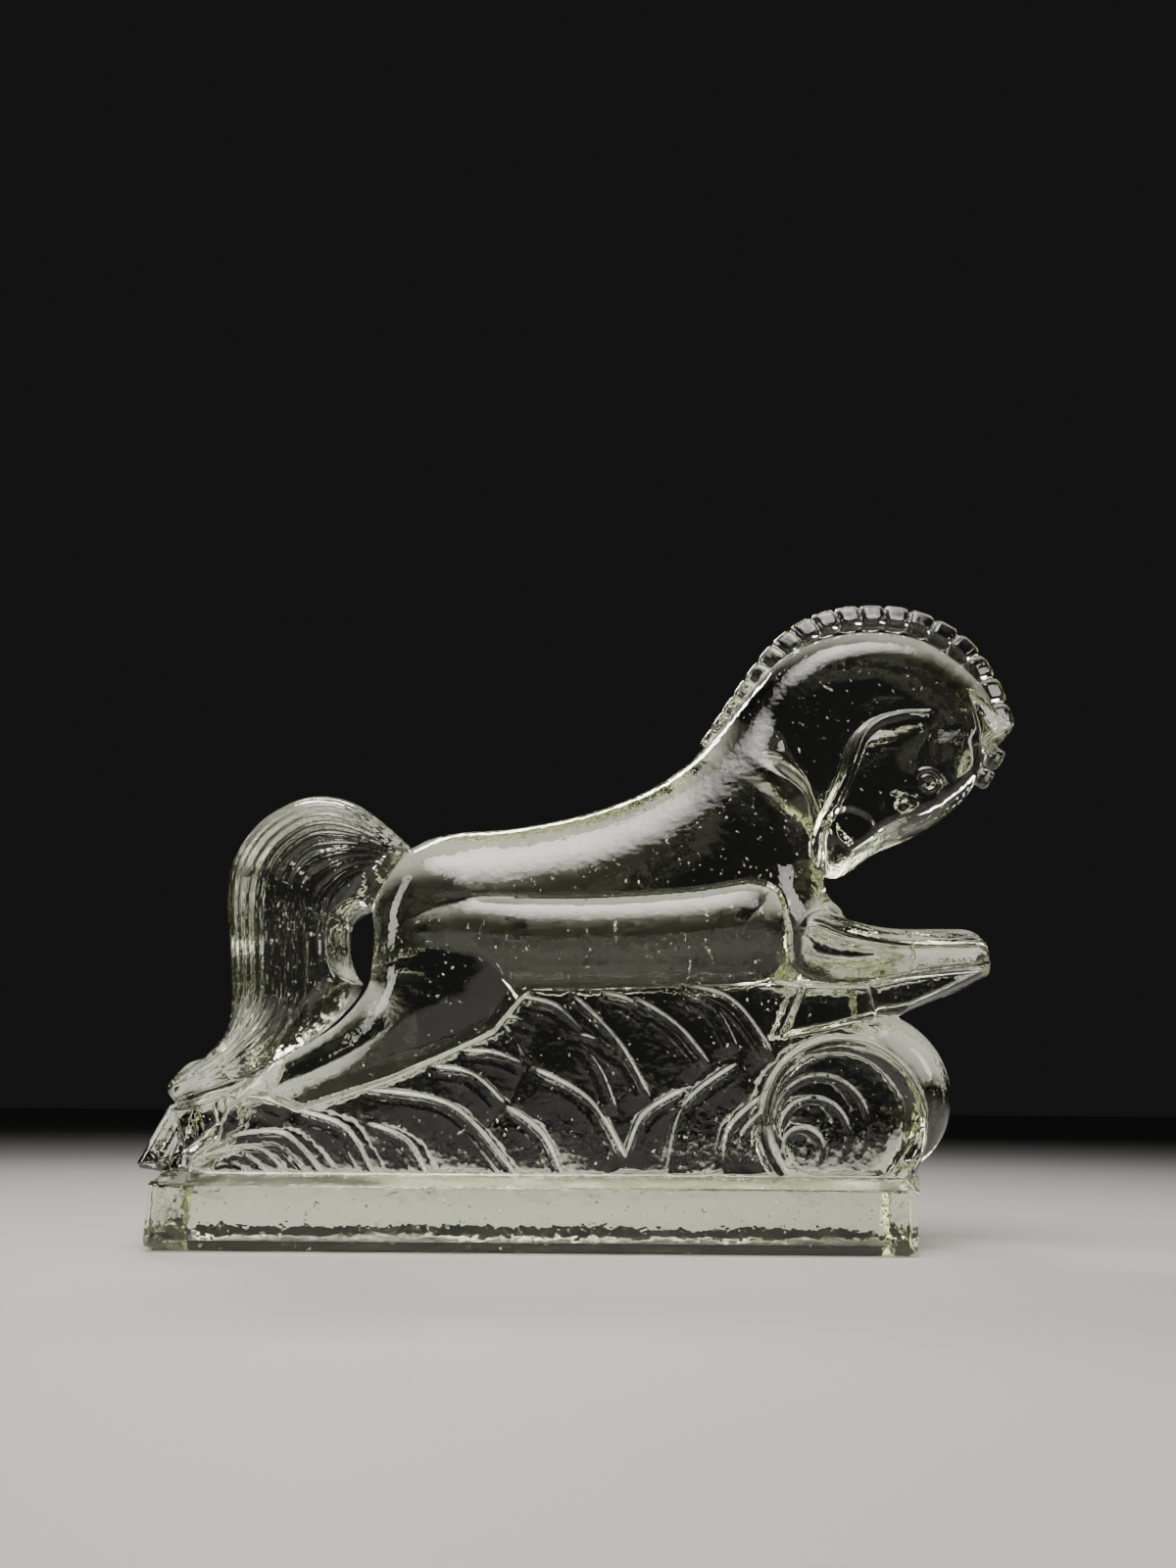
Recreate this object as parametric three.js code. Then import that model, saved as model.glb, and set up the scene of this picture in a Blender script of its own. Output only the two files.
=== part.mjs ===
// A solid pressed-glass horse leaping over a bank of long leaves and a scroll, on a low plinth.
// Millimetres, +Z up, +X towards the horse's head. The glass was pressed in two mould halves that
// met on the middle plane y = 0, so each face is a height above that plane: how far the glass
// reaches towards -Y and towards +Y at every point (x, z) of the side view.
import * as THREE from "three";

// Driving dimensions
const PLINTH = { left: -112, right: 88, endSlope: 6, deep: 60, tall: 15.4, corner: 4, round: 2.8 };
const LEDGE = { rise: 1.7, edge: 0.7 }; // from the plinth's edge up to the foot of the leaves
const BEVEL = { tall: 2.2, inward: 1.3 };
const BANK_HALF = 16.5; // half thickness of the leaf bank
const BODY_HALF = 23;
const NECK_HALF = 16.5;
const BODY_EDGE = 21; // how far in from the outline the body's rounding reaches
const NECK_EDGE = 14;
const HEAD_EDGE = 6;
const SHOULDER = { front: 2.2, back: 1.4, low: 84, high: 94, fade: 5 }; // the step up from the neck
const HEAD_FROM = { x: 56, z: 92 };
const CHEEK = { rise: 3, edge: 2.6, lip: 1.1, hollow: 1.6, hollowWidth: 8 };
const THIGH_HALF = 21.5;
const HOCK_HALF = 14;
const HIND_HOOF_HALF = 16.5;
const FOREARM_HALF = 20;
const KNEE_HALF = 13;
const HOOF_HALF = 19.5;
const TAIL = { half: 15.5, edge: 8, strands: 12, groove: 0.8, root: [-48, 99] };
const MANE = { beads: 18, first: 5.8, last: 7.5, firstTall: 5.6, tall: 7.4, half: 3.6, edge: 3.7, web: 2.2 };
const LEAF = { step: 0.6, wall: 0.4, width: 11, rim: 0.3, rimWidth: 0.9 };
const SCROLL = { centre: [76, 38], radius: 22.2, edge: 11, half: 17.2 };
const SCROLL_RIM = { centre: [67, 31], radius: 20.4, width: 2.2, rise: 0.9, dish: 1.2 };
const SCROLL_ROLLS = [[60.6, 30.5, 11.2], [59.6, 28.6, 7.6], [58.8, 27.2, 4]];
const POST = { left: 72, right: 88.4, half: 15, top: 24 }; // the block under the scroll's back
const FLANK = { bulge: 2.8, fall: 5.5, reach: 12 }; // the lobe below the flank line
const SEAM_HALF = 0.4; // half thickness of the glass along the mould seam
const FILLET = 1.2; // where two forms meet
const TINY = 0.01;

// Sizes of the mesh
const GRID = 1.4;
const TRIANGLES = 9000;
const CURVE_STEPS = 6;

const clamp = (v, low, high) => Math.min(Math.max(v, low), high);
const mix = (a, b, t) => a + (b - a) * t;
const ease = (low, high, v) => {
  const t = clamp((v - low) / (high - low), 0, 1);
  return t * t * (3 - 2 * t);
};
// A low rounded ridge: 1 on its line, 0 from half its width away.
const ridge = (away, width) => Math.max(0, 1 - ((2 * away) / width) ** 2);

// The larger of two heights, with a fillet where they cross inside the glass.
function join(a, b, radius = FILLET) {
  if (a <= 0 || b <= 0) return Math.max(a, b);
  const near = Math.max(radius - Math.abs(a - b), 0) / radius;
  return Math.max(a, b) + (near * near * radius) / 4;
}

// A rounded form: full height from "edge" inwards, falling as a quarter ellipse to the outline.
function swell(deep, half, edge) {
  if (deep <= 0) return deep;
  const t = 1 - Math.min(deep / edge, 1);
  return half * Math.sqrt(1 - t * t);
}

// The nearest point of a run of straight lines: how far off, how far along, and on which side.
function nearest(points, x, z, closed = false) {
  const found = { away: Infinity, along: 0, left: false, inside: false };
  const spans = closed ? points.length : points.length - 1;
  for (let i = 0; i < spans; i += 1) {
    const [ax, az] = points[i];
    const [bx, bz] = points[(i + 1) % points.length];
    const [dx, dz] = [bx - ax, bz - az];
    const t = clamp(((x - ax) * dx + (z - az) * dz) / (dx * dx + dz * dz), 0, 1);
    const away = Math.hypot(x - ax - t * dx, z - az - t * dz);
    if (away < found.away) {
      found.away = away;
      found.along = (i + t) / spans;
      found.left = dx * (z - az) - dz * (x - ax) > 0;
    }
    if (az > z !== bz > z && x < ax + ((z - az) / dz) * dx) found.inside = !found.inside;
  }
  return found;
}

// A smooth curve through a few knots.
function curve(knots, closed = false) {
  const at = (i) => knots[closed ? (i + knots.length) % knots.length : clamp(i, 0, knots.length - 1)];
  const points = [];
  for (let i = 0; i < (closed ? knots.length : knots.length - 1); i += 1) {
    const [p, q, r, s] = [at(i - 1), at(i), at(i + 1), at(i + 2)];
    for (let k = 0; k < CURVE_STEPS; k += 1) {
      const t = k / CURVE_STEPS;
      const value = (c) => {
        const bend = 2 * p[c] - 5 * q[c] + 4 * r[c] - s[c] + t * (3 * (q[c] - r[c]) + s[c] - p[c]);
        return q[c] + 0.5 * t * (r[c] - p[c] + t * bend);
      };
      points.push([value(0), value(1)]);
    }
  }
  if (!closed) points.push(at(knots.length - 1));
  return points;
}

// How deep a point lies inside an outline: positive inside, negative outside.
function within(outline, reach = 4) {
  const box = new THREE.Box2().setFromPoints(outline.map(([x, z]) => new THREE.Vector2(x, z)));
  const point = new THREE.Vector2();
  return (x, z) => {
    const outside = box.distanceToPoint(point.set(x, z));
    if (outside > reach) return -outside;
    const { away, inside } = nearest(outline, x, z, true);
    return inside ? away : -away;
  };
}

// Outlines of the horse in the side view
const trunk = within(curve([
  [-59, 77], [-56, 92], [-48, 103.4], [-38, 107.8], [-18.5, 109.8], [0.6, 114], [16.8, 120.4], [27, 127.4],
  [34, 134.4], [42, 144.5], [52, 156.4], [64, 164.6], [80, 167.8], [96, 165], [109, 155.6], [116.6, 144],
  [116.4, 131], [107.5, 121.2], [95, 111.2], [83, 104.2], [76.6, 98.8], [71.5, 96.6], [67, 97.4],
  [67.8, 91], [72.5, 84.4], [73, 66], [48, 60], [18, 58], [-14, 57], [-34, 62], [-50, 66],
], true));
const shoulder = curve([[30, 140], [45, 132.4], [50.5, 125], [59, 117], [63, 106], [67, 94], [72, 80]]);
const head = within(curve([
  [96, 141.4], [88.1, 140.8], [79.9, 138.5], [74.3, 133.7], [71.1, 126.5], [68.7, 120.4],
  [64.5, 112.2], [61.8, 106.2], [62, 100.5], [66, 96.4], [73, 94], [82, 101], [96, 110],
  [109, 120], [120, 130], [123, 141], [116, 152], [105, 148],
], true));
const jaw = curve([
  [93, 141], [88.1, 140.8], [79.9, 138.5], [74.3, 133.7], [71.1, 126.5], [68.7, 120.4],
  [64.5, 112.2], [61.8, 106.2], [62, 100.5],
]);
const muzzle = within(curve([
  [68.2, 112], [74, 111.6], [77, 109.4], [78.4, 105], [78.6, 100], [76, 92], [60, 90], [57, 104],
], true));
const hind = within(curve([
  [-49, 103], [-57, 90], [-59, 76], [-58.4, 66], [-66, 55.6], [-79, 47.2], [-90, 40.2], [-101, 36],
  [-99, 28], [-88, 29], [-74, 32], [-58, 36], [-40, 40.8], [-26, 47], [-17, 56], [-9, 74], [-18, 95],
  [-34, 106],
], true));
const hindHoof = within([[-106.6, 34], [-102.3, 20.6], [-98.6, 20.4], [-89.5, 28.5], [-92, 37.4]]);
const farHoof = within([
  [-110.4, 33.6], [-117.8, 18.6], [-116.8, 17.2], [-107, 16], [-104, 24], [-103, 36],
]);
const farPastern = within(curve([
  [-111, 37], [-108, 42.8], [-103, 45.8], [-92, 45.4], [-90, 36], [-103, 32],
], true));
const forearm = within(curve([
  [51, 86], [62, 88], [72, 84.6], [84, 82.4], [99, 82.4], [106, 82], [110, 78.6], [110.8, 72], [104, 70.4],
  [92, 69], [79, 65.8], [64, 65.6], [55, 68.6], [50, 77],
], true));
const shank = within([
  [110.8, 74], [110, 69.2], [103.6, 66], [86, 58.6], [74, 56.5], [73, 67], [84, 69.5], [104, 72.5],
]);
const hoof = within([[56.5, 67], [50.2, 52.4], [51.4, 51], [64, 53.2], [77.6, 56.8], [75.6, 66.6]]);
const bank = within([
  [-102, 14], [-100, 21], [-94, 26], [-91.6, 34], [-86, 38.2], [-80, 38], [-73, 34.4], [-50, 42], [-24, 54],
  [-14, 66], [30, 72], [60, 66], [70, 58], [84, 52], [84, 14],
]);

// The tail: a broad arch of strands between an outer and an inner curve
const tailOuter = curve([
  [-47, 102.5], [-55, 109.8], [-64.5, 116.3], [-73.5, 118.2], [-81.6, 116.4], [-91, 109.9], [-97.2, 99.4],
  [-98.2, 88], [-96.4, 74], [-94.9, 58], [-98.6, 48.8], [-109.4, 40.4],
]);
const tailInner = curve([
  [-50, 96], [-56, 88.6], [-60, 85], [-63, 81.6], [-63.6, 76], [-61.6, 70], [-61.4, 64], [-70, 54],
  [-84, 44], [-97, 37.6], [-109.4, 35],
]);
const lastStrand = curve([
  [-49, 94.6], [-56, 95.8], [-62.6, 93.4], [-67.4, 87.6], [-69, 79], [-68.6, 68], [-69, 58],
  [-75.4, 48.6], [-87, 41.4], [-98, 37], [-109.4, 35.2],
]);
const tail = within([...tailOuter, ...[...tailInner].reverse()]);
const opening = within(curve([
  [-59.8, 86.2], [-64.2, 82.6], [-65.2, 77], [-63.4, 70.4],
  [-60.4, 66.4], [-58.2, 68.4], [-57.4, 76], [-58, 82.6],
], true));

// Lines carved on the body
const flankLine = curve([
  [-54, 86.5], [-30, 88], [0, 87.6], [28, 89.5], [44, 91.8],
  [51.6, 89], [53.6, 80], [55, 71.5], [62, 67.4], [74, 66],
]);
const armRidge = curve([[61, 80], [68, 77.6], [78, 76.6], [92, 76.3], [108, 76.4]]);

// Leaves: root, tip, and how far the edge bows to the left of the way from root to tip
const LEAVES = [
  [-99, 20, -77.5, 16.5, 4.6], [-91, 23, -73.8, 16.5, 3.6], [-91, 26, -64.6, 16.5, 6],
  [-74, 33, -52, 16.5, 4.6], [-94, 27, -75, 33.6, 6], [-55, 29.8, -38.6, 16.5, 3.2],
  [-57, 38, -16.4, 17, 7.4], [-40, 44, -19.5, 34.4, 3.2], [-20, 34.4, -4.8, 17, 2.8],
  [-32, 47.8, -14.8, 44.6, 1.4], [-14, 44.2, 11.6, 20.6, 4.6], [-22, 57, -12, 54.4, 0.6],
  [-21.5, 55.6, -15, 45, 1], [-17.5, 62, 0.8, 52.4, 2.6], [-7, 53.4, 13.6, 44, 2.4],
  [-4, 63.5, 18, 35.6, 2.4], [4.6, 63, 17.6, 57, 1.4], [-2, 52, 9, 33, 1.6],
  [13, 62, 33, 45, 2], [20.5, 66, 49.6, 47.4, 6], [23, 66, 40.6, 48.4, 3.6],
  [10.8, 20, 26.4, 38.8, 4], [21.4, 16.5, 40, 45.4, 6], [36, 16.5, 45.4, 36.8, 4],
  [40, 16.5, 48.6, 35.6, 4],
];
const leaves = LEAVES.map(([ax, az, bx, bz, bow]) => {
  const length = Math.hypot(bx - ax, bz - az);
  const middle = [(ax + bx) / 2 - ((bz - az) / length) * bow, (az + bz) / 2 + ((bx - ax) / length) * bow];
  const edge = curve([[ax, az], middle, [bx, bz]]);
  return { edge, near: within(edge, LEAF.width), size: Math.min(1, length / 16) };
});

// How far the leaves stand above the bank: each falls away from its bowed edge, which has a rim.
function foliage(x, z) {
  let top = 0;
  for (const leaf of leaves) {
    if (leaf.near(x, z) < -LEAF.width) continue;
    const { away, along, left } = nearest(leaf.edge, x, z);
    const blade = Math.max(0, 1 - away / (left ? LEAF.wall : LEAF.width));
    const rim = ridge(Math.abs((left ? -away : away) - LEAF.rimWidth / 2), LEAF.rimWidth);
    const ends = along <= 0 || along >= 1 ? Math.max(0, 1 - away / 2) : 1;
    const taper = leaf.size * ends * Math.min(1, 5 * along, 6 * (1 - along) + 0.25);
    top = Math.max(top, taper * (LEAF.step * blade + LEAF.rim * rim));
  }
  return top;
}

// The scroll: a drum whose face has a raised rim, dished inside, with smaller rolls in it
function scroll(x, z) {
  const [drumX, drumZ] = SCROLL.centre;
  const half = swell(SCROLL.radius - Math.hypot(x - drumX, z - drumZ), SCROLL.half, SCROLL.edge);
  const [cx, cz] = SCROLL_RIM.centre;
  const inward = SCROLL_RIM.radius - Math.hypot(x - cx, z - cz);
  if (inward < -SCROLL_RIM.width / 2 || z < PLINTH.tall) return half;
  const rim = ridge(Math.abs(inward), SCROLL_RIM.width) * ease(16, 22, z);
  const rolls = SCROLL_ROLLS.map(([rx, rz, radius]) => {
    const away = Math.abs(Math.hypot(x - rx, z - rz) - radius);
    return 0.7 * ridge(away, 1.8) * ease(rz - radius, rz, z);
  });
  const flat = SCROLL.half - SCROLL_RIM.dish * ease(0, 5, inward);
  return Math.max(inward < 0 ? half : 0, flat + SCROLL_RIM.rise * Math.max(rim, ...rolls));
}

// How deep a point lies inside a corner of two straight sides, rounded off
function corner(sideways, upwards, round) {
  if (sideways >= round || upwards >= round) return Math.min(sideways, upwards);
  return round - Math.hypot(round - sideways, round - upwards);
}

// The plinth: straight sides, sloping ends that meet on the seam, a ledge above and a bevel below
function plinth(x, z) {
  const half = PLINTH.deep / 2;
  const end = Math.min(x - PLINTH.left, PLINTH.right - x);
  const rise = Math.min(PLINTH.tall + LEDGE.rise - z, z + TINY);
  const deep = corner(end, rise, PLINTH.round);
  if (deep <= 0) return deep;
  const flat = half - PLINTH.corner;
  const inFront = corner(end - PLINTH.endSlope, rise, PLINTH.round);
  if (inFront <= 0) return (flat * deep) / (deep - inFront);
  const ends = flat + swell(end - PLINTH.endSlope, PLINTH.corner, PLINTH.corner);
  const above = clamp((z - PLINTH.tall) / LEDGE.rise, 0, 1);
  const edge = half - LEDGE.edge * ease(PLINTH.tall - LEDGE.edge, PLINTH.tall, z);
  const ledge = above > 0 ? mix(half - LEDGE.edge, BANK_HALF, above) : edge;
  const bevel = half - BEVEL.inward * clamp(1 - z / BEVEL.tall, 0, 1);
  return Math.min(ends, ledge, bevel);
}

// The mane: keystone beads round the crest over a thinner web, and two more as a forelock
const CREST = [
  [34.6, 135.8], [44.4, 150.4], [55.8, 164], [67.8, 171.4], [81.9, 173.6],
  [96.2, 171.6], [108.4, 164], [115.6, 152.4], [118.6, 143.4],
];
const manePath = new THREE.SplineCurve(CREST.map(([x, z]) => new THREE.Vector2(x, z)));
const beads = [];
for (let i = 0; i < MANE.beads; i += 1) {
  const t = i / (MANE.beads - 1);
  const along = t * mix(0.86, 1, t);
  const spot = manePath.getPointAt(along);
  const way = manePath.getTangentAt(along);
  const wide = mix(MANE.first, MANE.last, Math.min(1, 1.7 * t));
  const tall = mix(MANE.firstTall, MANE.tall, Math.min(1, 2.4 * t));
  beads.push({ x: spot.x, z: spot.y, way, wide, tall });
}
const lock = new THREE.Vector2(0.55, 0.83);
beads.push({ x: 115.6, z: 131.6, way: lock, wide: 5, tall: 5 });
beads.push({ x: 112.9, z: 127.7, way: lock, wide: 4.4, tall: 4.4 });
const web = manePath.getSpacedPoints(40).map((p) => [p.x, p.y]);
function mane(x, z) {
  let best = -Infinity;
  for (const bead of beads) {
    const [dx, dz] = [x - bead.x, z - bead.z];
    if (dx * dx + dz * dz > 80) continue;
    const v = (Math.abs(dx * bead.way.x + dz * bead.way.y) * 2) / bead.wide;
    const u = (Math.abs(dx * bead.way.y - dz * bead.way.x) * 2) / bead.tall;
    best = Math.max(best, ((1 - (u ** 5 + v ** 5) ** 0.2) * bead.wide) / 2);
  }
  const strip = 2.5 - nearest(web, x, z).away;
  return Math.max(swell(best, MANE.half, MANE.edge), swell(strip, MANE.web, 2));
}

// The strands of the tail: locks along the arch, finer towards its outer edge
function strandGroove(x, z) {
  const outer = nearest(tailOuter, x, z).away;
  const last = nearest(lastStrand, x, z);
  const inward = last.left ? -last.away : last.away;
  const across = outer / (outer + Math.max(inward, 0) + TINY);
  const lock = 1 - Math.sqrt(0.03 + Math.sin(Math.PI * TAIL.strands * across ** 0.65) ** 2);
  const root = Math.hypot(x - TAIL.root[0], z - TAIL.root[1]);
  return lock * mix(0.3, 1, ease(6, 26, root)) * ease(-0.5, 0.5, inward);
}

// The head: cheek, eye, muzzle and nostril, as a height above the neck
const EYE = { centre: [92.6, 119.2], radius: 1.9, lid: 3.9 };
const NOSTRIL = { centre: [67.2, 101], radius: 2.8 };
const MUZZLE_STEP = 1;
function headRelief(x, z) {
  const inHead = head(x, z);
  const jawAway = nearest(jaw, x, z).away;
  const poll = ease(84, 98, x) * ease(122, 136, z);
  const cheek = swell(Math.max(inHead, 0), 1, CHEEK.edge);
  let raise = CHEEK.rise * mix(cheek, ease(0, 18, inHead), poll);
  if (inHead > 0) {
    raise += CHEEK.lip * ridge(Math.abs(jawAway - 1.6), 3.4) * (1 - poll);
    raise -= MUZZLE_STEP * ease(-0.5, 1.2, muzzle(x, z));
  } else {
    raise -= CHEEK.hollow * (1 - ease(0, CHEEK.hollowWidth, jawAway)) * (1 - poll);
  }
  const eyeAway = Math.hypot(x - EYE.centre[0], z - EYE.centre[1]);
  const upper = ease(-0.5, 0.6, (x - EYE.centre[0] + z - EYE.centre[1]) / EYE.lid);
  raise += 0.7 * ridge(Math.abs(eyeAway - EYE.radius), 1.5) - 0.4 * ridge(eyeAway, 2.4);
  raise += 0.6 * upper * ridge(Math.abs(eyeAway - EYE.lid), 1.5);
  const nostrilAway = Math.hypot(x - NOSTRIL.centre[0], z - NOSTRIL.centre[1]);
  const under = ease(-0.2, 0.5, (NOSTRIL.centre[1] - z) / NOSTRIL.radius);
  raise += 0.8 * under * ridge(Math.abs(nostrilAway - NOSTRIL.radius), 1.5);
  return raise - 0.6 * ridge(nostrilAway, 2.4);
}

// The ear: a flat three-cornered plate that slopes down towards its tip, rimmed and dished
const EAR = { left: 20.8, right: 14, rim: 1, dish: 0.7 };
const earSides = [[107.4, 145.8], [118.8, 135.4], [110.4, 131]];
const inEar = within(earSides);
function ear(x, z, half) {
  const deep = inEar(x, z);
  if (deep <= 0) return half;
  const across = (x - earSides[0][0]) / (earSides[1][0] - earSides[0][0]);
  const plate = mix(EAR.left, EAR.right, across) - EAR.dish * ease(EAR.rim, EAR.rim + 0.8, deep);
  return Math.max(deep < 0.8 ? half : 0, plate * swell(deep, 1, 0.8));
}

// Neck, head and body in one: thick behind the shoulder line, thinner before it
function body(x, z) {
  const deep = trunk(x, z);
  if (deep <= 0) return deep;
  const { away, left } = nearest(shoulder, x, z);
  const wide = mix(1, SHOULDER.fade, ease(114, 136, z));
  const behind = ease(-SHOULDER.front, SHOULDER.back, (left ? -away : away) / wide);
  const thick = Math.max(behind, 1 - ease(SHOULDER.low, SHOULDER.high, z));
  const front = mix(NECK_EDGE, HEAD_EDGE, ease(60, 72, x) * ease(138, 122, z));
  let half = swell(deep, mix(NECK_HALF, BODY_HALF, thick), mix(front, BODY_EDGE, thick));
  const settle = ease(0, 6, deep);
  if (x > HEAD_FROM.x && z > HEAD_FROM.z) half += headRelief(x, z) * settle;
  const flank = nearest(flankLine, x, z);
  if (flank.left) return half;
  const lobe = FLANK.bulge - FLANK.fall * Math.max(1 - flank.away / FLANK.reach, 0) ** 1.6;
  return half + lobe * ease(-60, -40, x) * ease(60, 70, z) * settle;
}

// Half thickness at (x, z) of one face: the near one towards -Y or the far one towards +Y
function face(x, z, far) {
  let half = plinth(x, z);
  const put = (height, fillet = FILLET) => {
    half = join(half, height, fillet);
  };
  const inBank = bank(x, z);
  put(inBank > 0 ? swell(inBank, BANK_HALF, 2) + foliage(x, z) - LEAF.step / 2 : inBank, 0.3);
  put(scroll(x, z), 0.5);
  put(swell(Math.min(x - POST.left, POST.right - x, z - 10, POST.top - z), POST.half, 3), 0.3);

  const inTail = tail(x, z);
  const groove = inTail > 0 ? TAIL.groove * strandGroove(x, z) * ease(0, 3, inTail) : 0;
  put(swell(inTail, TAIL.half, TAIL.edge) - groove);
  put(body(x, z));
  const alongLeg = ease(-50, -84, x);
  put(swell(hind(x, z), mix(THIGH_HALF, HOCK_HALF, alongLeg), mix(18, 8, alongLeg)));
  put(swell(farPastern(x, z), far ? HOCK_HALF : HOCK_HALF / 2, 5));
  put(swell(farHoof(x, z), far ? HIND_HOOF_HALF : 4, 3), 0.6);
  put(swell(hindHoof(x, z), far ? 14.5 : HIND_HOOF_HALF, 3), 0.6);
  put(mane(x, z), 0.6);
  if (half > 0) half = ear(x, z, half);

  const alongArm = ease(60, 108, x);
  const arm = swell(forearm(x, z), mix(FOREARM_HALF, KNEE_HALF, alongArm), 8);
  put(arm > 4 ? arm + 0.9 * ridge(nearest(armRidge, x, z).away, 5) : arm);
  put(swell(shank(x, z), mix(HOOF_HALF, KNEE_HALF - 1, alongArm), 3), 0.6);
  put(swell(hoof(x, z), HOOF_HALF, 2.5), 0.6);

  const out = -opening(x, z);
  if (out < 0) return out;
  return out < 5 ? Math.min(half, swell(out, 16, 6)) : half;
}

// The side view, sampled on a square grid
function sample([left, right, bottom, top], step) {
  const columns = Math.ceil((right - left) / step);
  const rows = Math.ceil((top - bottom) / step);
  const nodes = [];
  for (let j = 0; j <= rows; j += 1) {
    for (let i = 0; i <= columns; i += 1) nodes.push(spotAt(left + i * step, bottom + j * step));
  }
  return { columns, rows, nodes };
}
function spotAt(x, z) {
  const [near, far] = [face(x, z, false), face(x, z, true)];
  return { x, z, near, far, level: Math.max(near, far) };
}

// The point between two nodes, one in the glass and one outside, where the glass ends
function crossing(a, b) {
  const [solid, empty] = a.level > 0 ? [a, b] : [b, a];
  const at = (t) => spotAt(mix(solid.x, empty.x, t), mix(solid.z, empty.z, t));
  let [low, high] = [0, 1];
  for (let k = 0; k < 9; k += 1) {
    const middle = (low + high) / 2;
    if (at(middle).level > 0) low = middle;
    else high = middle;
  }
  const { near, far } = at(low);
  return { ...at(clamp(low, 0.06, 0.94)), near, far };
}

// A closed surface: both faces over the same triangles, with a narrow seam round the outline
function surface() {
  const { columns, rows, nodes } = sample([-121, 127, 0, 183], GRID);
  const positions = [];
  const faces = [];
  const numbers = new Map();
  const vertex = (node, far) => {
    if (!numbers.has(node)) {
      numbers.set(node, positions.length / 3);
      positions.push(node.x, -Math.max(node.near, SEAM_HALF), node.z);
      positions.push(node.x, Math.max(node.far, SEAM_HALF), node.z);
    }
    return numbers.get(node) + (far ? 1 : 0);
  };
  const cuts = new Map();
  const cut = (a, b) => {
    const key = Math.min(a, b) * nodes.length + Math.max(a, b);
    if (!cuts.has(key)) cuts.set(key, crossing(nodes[a], nodes[b]));
    return cuts.get(key);
  };
  const border = new Map();
  const triangle = (corners) => {
    const [a, b, c] = corners;
    faces.push(vertex(a, false), vertex(b, false), vertex(c, false));
    faces.push(vertex(a, true), vertex(c, true), vertex(b, true));
    corners.forEach((p, k) => {
      const q = corners[(k + 1) % 3];
      if (border.get(q)?.has(p)) border.get(q).delete(p);
      else if (border.has(p)) border.get(p).add(q);
      else border.set(p, new Set([q]));
    });
  };
  const clip = (...corners) => {
    const kept = [];
    corners.forEach((a, k) => {
      const b = corners[(k + 1) % 3];
      if (nodes[a].level > 0) kept.push(nodes[a]);
      if (nodes[a].level > 0 !== nodes[b].level > 0) kept.push(cut(a, b));
    });
    for (let k = 2; k < kept.length; k += 1) triangle([kept[0], kept[k - 1], kept[k]]);
  };
  for (let j = 0; j < rows; j += 1) {
    for (let i = 0; i < columns; i += 1) {
      const a = j * (columns + 1) + i;
      const [b, c, d] = [a + 1, a + columns + 2, a + columns + 1];
      clip(a, b, (i + j) % 2 ? c : d);
      clip((i + j) % 2 ? a : b, c, d);
    }
  }
  for (const [p, ends] of border) {
    for (const q of ends) {
      faces.push(vertex(q, false), vertex(p, false), vertex(p, true));
      faces.push(vertex(q, false), vertex(p, true), vertex(q, true));
    }
  }
  return { positions, faces };
}

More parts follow.
